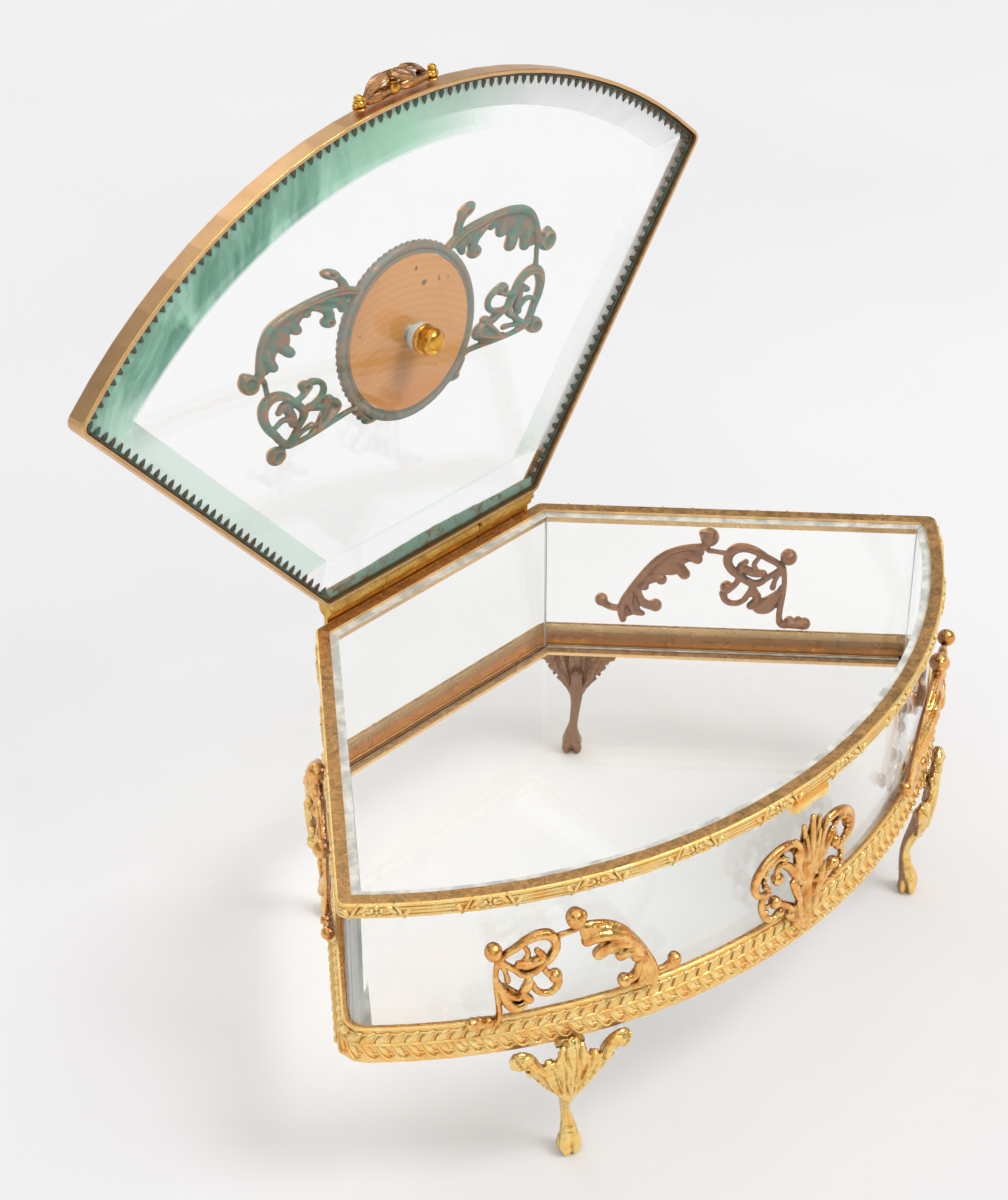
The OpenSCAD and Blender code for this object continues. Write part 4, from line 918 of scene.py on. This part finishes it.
# The strip along the hinge has no teeth: its inner edge sags in the middle and is a little uneven
STRIP_HALF, STRIP_IN, STRIP_OUT = 37.5, 59.4, 62.4
bm = bmesh.new()
for v in bmesh.ops.create_grid(bm, x_segments=76, y_segments=4, size=1)["verts"]:
    x, y = v.co.x * STRIP_HALF, v.co.y
    bowed = 1.3 * cos(pi * v.co.x / 2) ** 2 + 0.12 * sin(x * 1.3) * cos(x * 0.37)
    inner = STRIP_IN - bowed
    v.co = Vector((x, inner + (STRIP_OUT - inner) * (y + 1) / 2,
                   GLASS_LOW - 0.2 - 0.25 * (1 - y * y)))
bmesh.ops.solidify(bm, geom=bm.faces[:], thickness=0.35)
bmesh.ops.recalc_face_normals(bm, faces=bm.faces)
settle("lid_back_strip", bm, "lid", strip_verdigris)

# ---- clasp, drawn as (across, up, radius, outward from the bar) on the closed lid

BAR_Y, BAR_Z = -63.6, 89.95
LEVER_HALF = [
    [(1.8, BAR_Z, 1.2), (3, BAR_Z, 1.5), (6, BAR_Z, 1.75), (9.3, BAR_Z, 1.5)],
    [(9.8, BAR_Z, 0.6, 0.7), (8.4, BAR_Z, 0.7, 2.0), (6.4, BAR_Z, 0.8, 3.3), (4, BAR_Z, 0.8, 4.2),
     (2.4, BAR_Z, 0.6, 4.5), (1.2, BAR_Z, 0.4, 4.4)],
]
# These run both below and above the bar
LEVER_PAIRS = [
    [(9.4, 0.6, 0.4, 1.2), (6.6, 1.7, 0.42, 3.1), (4.2, 1.6, 0.4, 4.0), (1.9, 0.5, 0.3, 4.4)],
    [(8.2, 0.8, 0.5, 2.1), (6, 0.9, 0.6, 3.4), (3.4, 0.7, 0.5, 4.2)],
]
LEVER_HALF += [[(u, BAR_Z + way * up, r, out) for u, up, r, out in path]
               for path in LEVER_PAIRS for way in (-1, 1)]
LEVER_MIDDLE = [
    [(-2.2, BAR_Z, 1.15), (2.2, BAR_Z, 1.15)],
    [(-0.4, BAR_Z, 1.0, 1), (-0.4, BAR_Z, 0.8, 3), (0, BAR_Z, 0.6, 4.4), (0.8, BAR_Z, 0.4, 4.4)],
]
TONGUE = ((0, BAR_Z + 1), (0, 82.1), 5.0, 0.8, 0.5, 4.7, 0.8)
bm = cast(sum(map(both, LEVER_HALF), []) + LEVER_MIDDLE, leaves=[TONGUE], voxel=0.17)
for v in bm.verts:
    v.co = Vector((v.co.x, BAR_Y - v.co.z, v.co.y))
settle("clasp_lever_casting", bm, "clasp", clasp_copper, ["clasp_lever"])

bm = bmesh.new()
for out, r, thick in ((0.3, 1.9, 1.9), (2.0, 1.45, 0.5), (3.0, 1.1, 0.7), (4.1, 1.4, 0.8)):
    at = shift(-1.0, BAR_Y - out, BAR_Z)
    drop(bm, at, (r, thick, r), segments=16, rings=10)
settle("clasp_collar", bm, "clasp", knob_gold)

bm = bmesh.new()
for side in (-1, 1):
    for across, out, r, thick in ((12, -1.5, 1.75, 0.6), (12, -0.2, 1.5, 1.2),
                                  (12.2, 1.2, 1.15, 0.9), (13.3, -0.5, 0.8, 0.8),
                                  (11, -0.1, 1.3, 0.6)):
        at = shift(side * across, BAR_Y - out, BAR_Z)
        drop(bm, at, (r, thick, r), segments=16, rings=10)
settle("clasp_knobs", bm, "lid", knob_gold, ["clasp_posts"])

# ---- medallion

BEAD_COUNT, BEAD_R = 74, MEDAL_R - 0.6
bm = bmesh.new()
for i in range(BEAD_COUNT):
    a = 2 * pi * i / BEAD_COUNT
    at = shift(BEAD_R * cos(a), MEDAL_Y + BEAD_R * sin(a), GLASS_TOP + 1.5)
    drop(bm, at @ Matrix.Rotation(a, 4, "Z"), (0.9, 0.95, 0.9))
settle("medallion_beads", bm, "lid", rim_verdigris)

# The lid glass's upper face as a depth, and how far above it the ring is green; beyond it is gold
UNDER = GLASS_LOW - GLASS_TOP
RING_GREEN = 1.6


def turned(name, profile, finish, stands_for):
    """A piece spun about the medallion's axis, drawn as (radius, depth under the glass)"""
    bm = bmesh.new()
    rear = bm.verts.layers.float.new("rear")
    rim = [bm.verts.new((r, MEDAL_Y, GLASS_LOW - depth)) for r, depth in profile]
    for v, (r, depth) in zip(rim, profile):
        v[rear] = 1.0 if depth > UNDER - RING_GREEN else 0.0
    edges = [bm.edges.new(pair) for pair in zip(rim, rim[1:])]
    bmesh.ops.spin(bm, geom=rim + edges, cent=(0, MEDAL_Y, 0), axis=(0, 0, 1), angle=2 * pi,
                   steps=56, use_merge=True)
    bmesh.ops.remove_doubles(bm, verts=bm.verts, dist=0.001)
    bmesh.ops.recalc_face_normals(bm, faces=bm.faces)
    settle(name, bm, "lid", finish, [stands_for], 50)


WASHER = [(1.45, 0.02), (3.5, 0.02), (3.65, 0.15), (3.65, 1.8), (3.4, 2.0), (1.45, 2.0),
          (1.45, 0.02)]
NUT = [(0, 2.0), (3.3, 2.0), (3.65, 2.1), (3.85, 2.35), (3.85, 2.95), (3.65, 3.2), (3.2, 3.35),
       (2.95, 3.55), (2.95, 3.9), (3.2, 4.1), (3.3, 4.3), (3.2, 4.5), (3.4, 4.75), (3.6, 5.2),
       (3.62, 5.8), (3.45, 6.5), (3.05, 7.1), (2.4, 7.6), (1.6, 7.9), (0.8, 8.0), (0, 8.02)]
# These two stand on the glass's upper face, so they are drawn as (radius, height above it)
PLATE = [(1.55, 0.03), (20.5, 0.03), (20.5, 1.0), (1.55, 1.0), (1.55, 0.03)]
RING = [(20.65, 0.03), (21.0, 0.03), (21.25, 0.3), (21.6, 0.3), (21.85, 0.03), (23.0, 0.03),
        (23.5, 0.5), (23.5, 1.5), (22.9, 2.5), (21.8, 3.0), (20.9, 2.4), (20.65, 1.8),
        (20.65, 0.03)]
turned("medallion_washer_turned", WASHER, pale_washer, "medallion_washer")
turned("medallion_nut_turned", NUT, nut_gold, "medallion_nut")
turned("medallion_back_plate", [(r, UNDER - rise) for r, rise in PLATE], medallion_copper,
       "medallion_plate")
turned("medallion_ring", [(r, UNDER - rise) for r, rise in RING], ring_verdigris, "medallion_rim")

# ---- panes that need a truer bend or edge than their solids

# Insets of a pane's outer and inner face, then heights; the floor lies FLOOR_GAP above its ledge
PANE_OUT, PANE_IN, PANE_CORNER = 1.2, 5.2, 5.5
PANE_LOW, PANE_TOP, FLOOR_TOP, FLOOR_GAP = 40.0, 85.1, 43.5, 0.06


def front_corner(inset):
    """The right front corner of the fan at an inset, seen from the bow's centre"""
    t = SIDE_T - inset
    return SIDE_OUT * t + SIDE_DIR * sqrt((ARC_R - inset) ** 2 - t * t)


def swing(p):
    """How far round the bow a point lies, from the middle of the front"""
    return atan2(p.x, -p.y)


# A plain strip is spun first, and its points are then moved onto the bow
bm = bmesh.new()
corners = [bm.verts.new((x, 0, z)) for x, z in ((1, 0), (2, 0), (2, 1), (1, 1))]
face = bm.faces.new(corners)
bmesh.ops.spin(bm, geom=[face, *face.edges, *corners], cent=(0, 0, 0), axis=(0, 0, 1), angle=2,
               steps=200)
bmesh.ops.holes_fill(bm, edges=[e for e in bm.edges if e.is_boundary], sides=4)
bmesh.ops.recalc_face_normals(bm, faces=bm.faces)
knee = front_corner(PANE_CORNER)
fillet = PANE_CORNER - PANE_OUT
middle_way = (SIDE_OUT + knee.normalized()).normalized()
outer_end = swing(knee + middle_way * fillet) - 0.001
inner_end = swing(front_corner(PANE_IN)) - 0.001
for v in bm.verts:
    share = atan2(v.co.y, v.co.x) - 1
    outer = Vector((v.co.x, v.co.y)).length > 1.5
    a = share * (outer_end if outer else inner_end)
    way = Vector((sin(a), -cos(a)))
    r = ARC_R - (PANE_OUT if outer else PANE_IN)
    if outer and abs(a) > swing(knee):
        reach = Vector((abs(way.x), way.y)).dot(knee)
        r = reach + sqrt(reach * reach - knee.length_squared + fillet * fillet)
    v.co = Vector((way.x * r, ARC_Y + way.y * r, PANE_TOP if v.co.z > 0.5 else PANE_LOW))
settle("front_glass_bent", bm, "case", front_clear, ["front_glass"], 25)

bm = bmesh.new()
plate = bm.faces.new([bm.verts.new((p.x, p.y, PANE_LOW + FLOOR_GAP))
                      for p, n in fan_line(PANE_IN + 0.2, PANE_CORNER)])
raised = bmesh.ops.extrude_face_region(bm, geom=[plate])["geom"]
bmesh.ops.translate(bm, verts=[v for v in raised if isinstance(v, bmesh.types.BMVert)],
                    vec=(0, 0, FLOOR_TOP - PANE_LOW - FLOOR_GAP))
upper = [e for e in bm.edges if all(v.co.z > FLOOR_TOP - 0.1 for v in e.verts)]
bmesh.ops.bevel(bm, geom=upper, offset=1.5, segments=1, profile=0.5, affect="EDGES", material=-1)
bmesh.ops.recalc_face_normals(bm, faces=bm.faces)
settle("bottom_glass_bevelled", bm, "case", floor_clear, ["bottom_glass"], 20)

# ---- camera, floor and light

camera = new_object("camera", bpy.data.cameras.new("camera"))
azimuth, elevation = radians(-46.02), radians(34.82)
behind = Vector((sin(azimuth) * cos(elevation),
                 -cos(azimuth) * cos(elevation), sin(elevation)))
camera.location = Vector((-432.40, -379.13, 505.20)) * MM
camera.rotation_mode = "QUATERNION"
camera.rotation_quaternion = (-behind).to_track_quat("-Z", "Y")
camera.data.lens = 85.4
camera.data.sensor_width = 36.0
bpy.context.scene.camera = camera

floor_mesh = bpy.data.meshes.new("floor")
bm = bmesh.new()
bmesh.ops.create_circle(bm, cap_ends=True, segments=96, radius=4.0)
bm.to_mesh(floor_mesh)
bm.free()
floor = new_object("floor", floor_mesh)
paper = Finish("pale_paper")
mottle = paper.span(paper.grain(3.0), 0.35, 0.65)
paper.set(Base_Color=paper.mix(mottle, (240, 240, 241), (236, 235, 236)), Roughness=0.9)
# The paper is a little brighter through glass, where the lamps reach it less
through = paper.add("ShaderNodeLightPath").outputs["Is Transmission Ray"]
paper.set(Emission_Color=(1, 1, 1, 1), Emission_Strength=paper.times(through, 0.07))
floor_mesh.materials.append(paper.material)

LAMP_AIM = Vector((0, 0, 0.06))
for name, place, size, power in (("key", (0.35, -0.75, 1.25), 0.6, 7.0),
                                 ("fill", (-1.1, -0.9, 1.1), 1.2, 2.4),
                                 ("rim_light", (0.3, 1.3, 0.9), 0.7, 2.4)):
    light = bpy.data.lights.new(name, "AREA")
    light.shape = "DISK"
    light.size = size
    light.energy = power
    holder = new_object(name, light)
    holder.location = place
    holder.rotation_mode = "QUATERNION"
    holder.rotation_quaternion = (Vector(place) - LAMP_AIM).to_track_quat("Z", "Y")

# Light comes from an even sky; what is seen, mirrored or looked at through glass has a darker
# ring half way up, so the gilding has something to reflect
world = bpy.data.worlds.new("studio")
bpy.context.scene.world = world
world.use_nodes = True
nodes, link = world.node_tree.nodes, world.node_tree.links.new
even_sky = nodes["Background"]
even_sky.inputs["Color"].default_value = (1, 1, 1, 1)
even_sky.inputs["Strength"].default_value = 0.74
ways = nodes.new("ShaderNodeTexCoord")
height = nodes.new("ShaderNodeSeparateXYZ")
link(ways.outputs["Generated"], height.inputs[0])
dome = nodes.new("ShaderNodeValToRGB")
link(height.outputs["Z"], dome.inputs[0])
stops = dome.color_ramp.elements
stops[0].color = srgb(243, 243, 244)
for level, grey in ((0.16, 243), (0.3, 150), (0.62, 128), (0.78, 250)):
    stops.new(level).color = srgb(grey, grey, grey)
seen_sky = nodes.new("ShaderNodeBackground")
link(dome.outputs["Color"], seen_sky.inputs["Color"])
rays = nodes.new("ShaderNodeLightPath").outputs
looking = rays["Is Camera Ray"]
for ray in ("Is Glossy Ray", "Is Transmission Ray"):
    most = nodes.new("ShaderNodeMath")
    most.operation = "MAXIMUM"
    link(looking, most.inputs[0])
    link(rays[ray], most.inputs[1])
    looking = most.outputs[0]
sky = nodes.new("ShaderNodeMixShader")
for socket, joined in zip((looking, even_sky.outputs[0], seen_sky.outputs[0]), sky.inputs):
    link(socket, joined)
link(sky.outputs[0], nodes["World Output"].inputs["Surface"])
bpy.context.scene.view_settings.view_transform = "Standard"
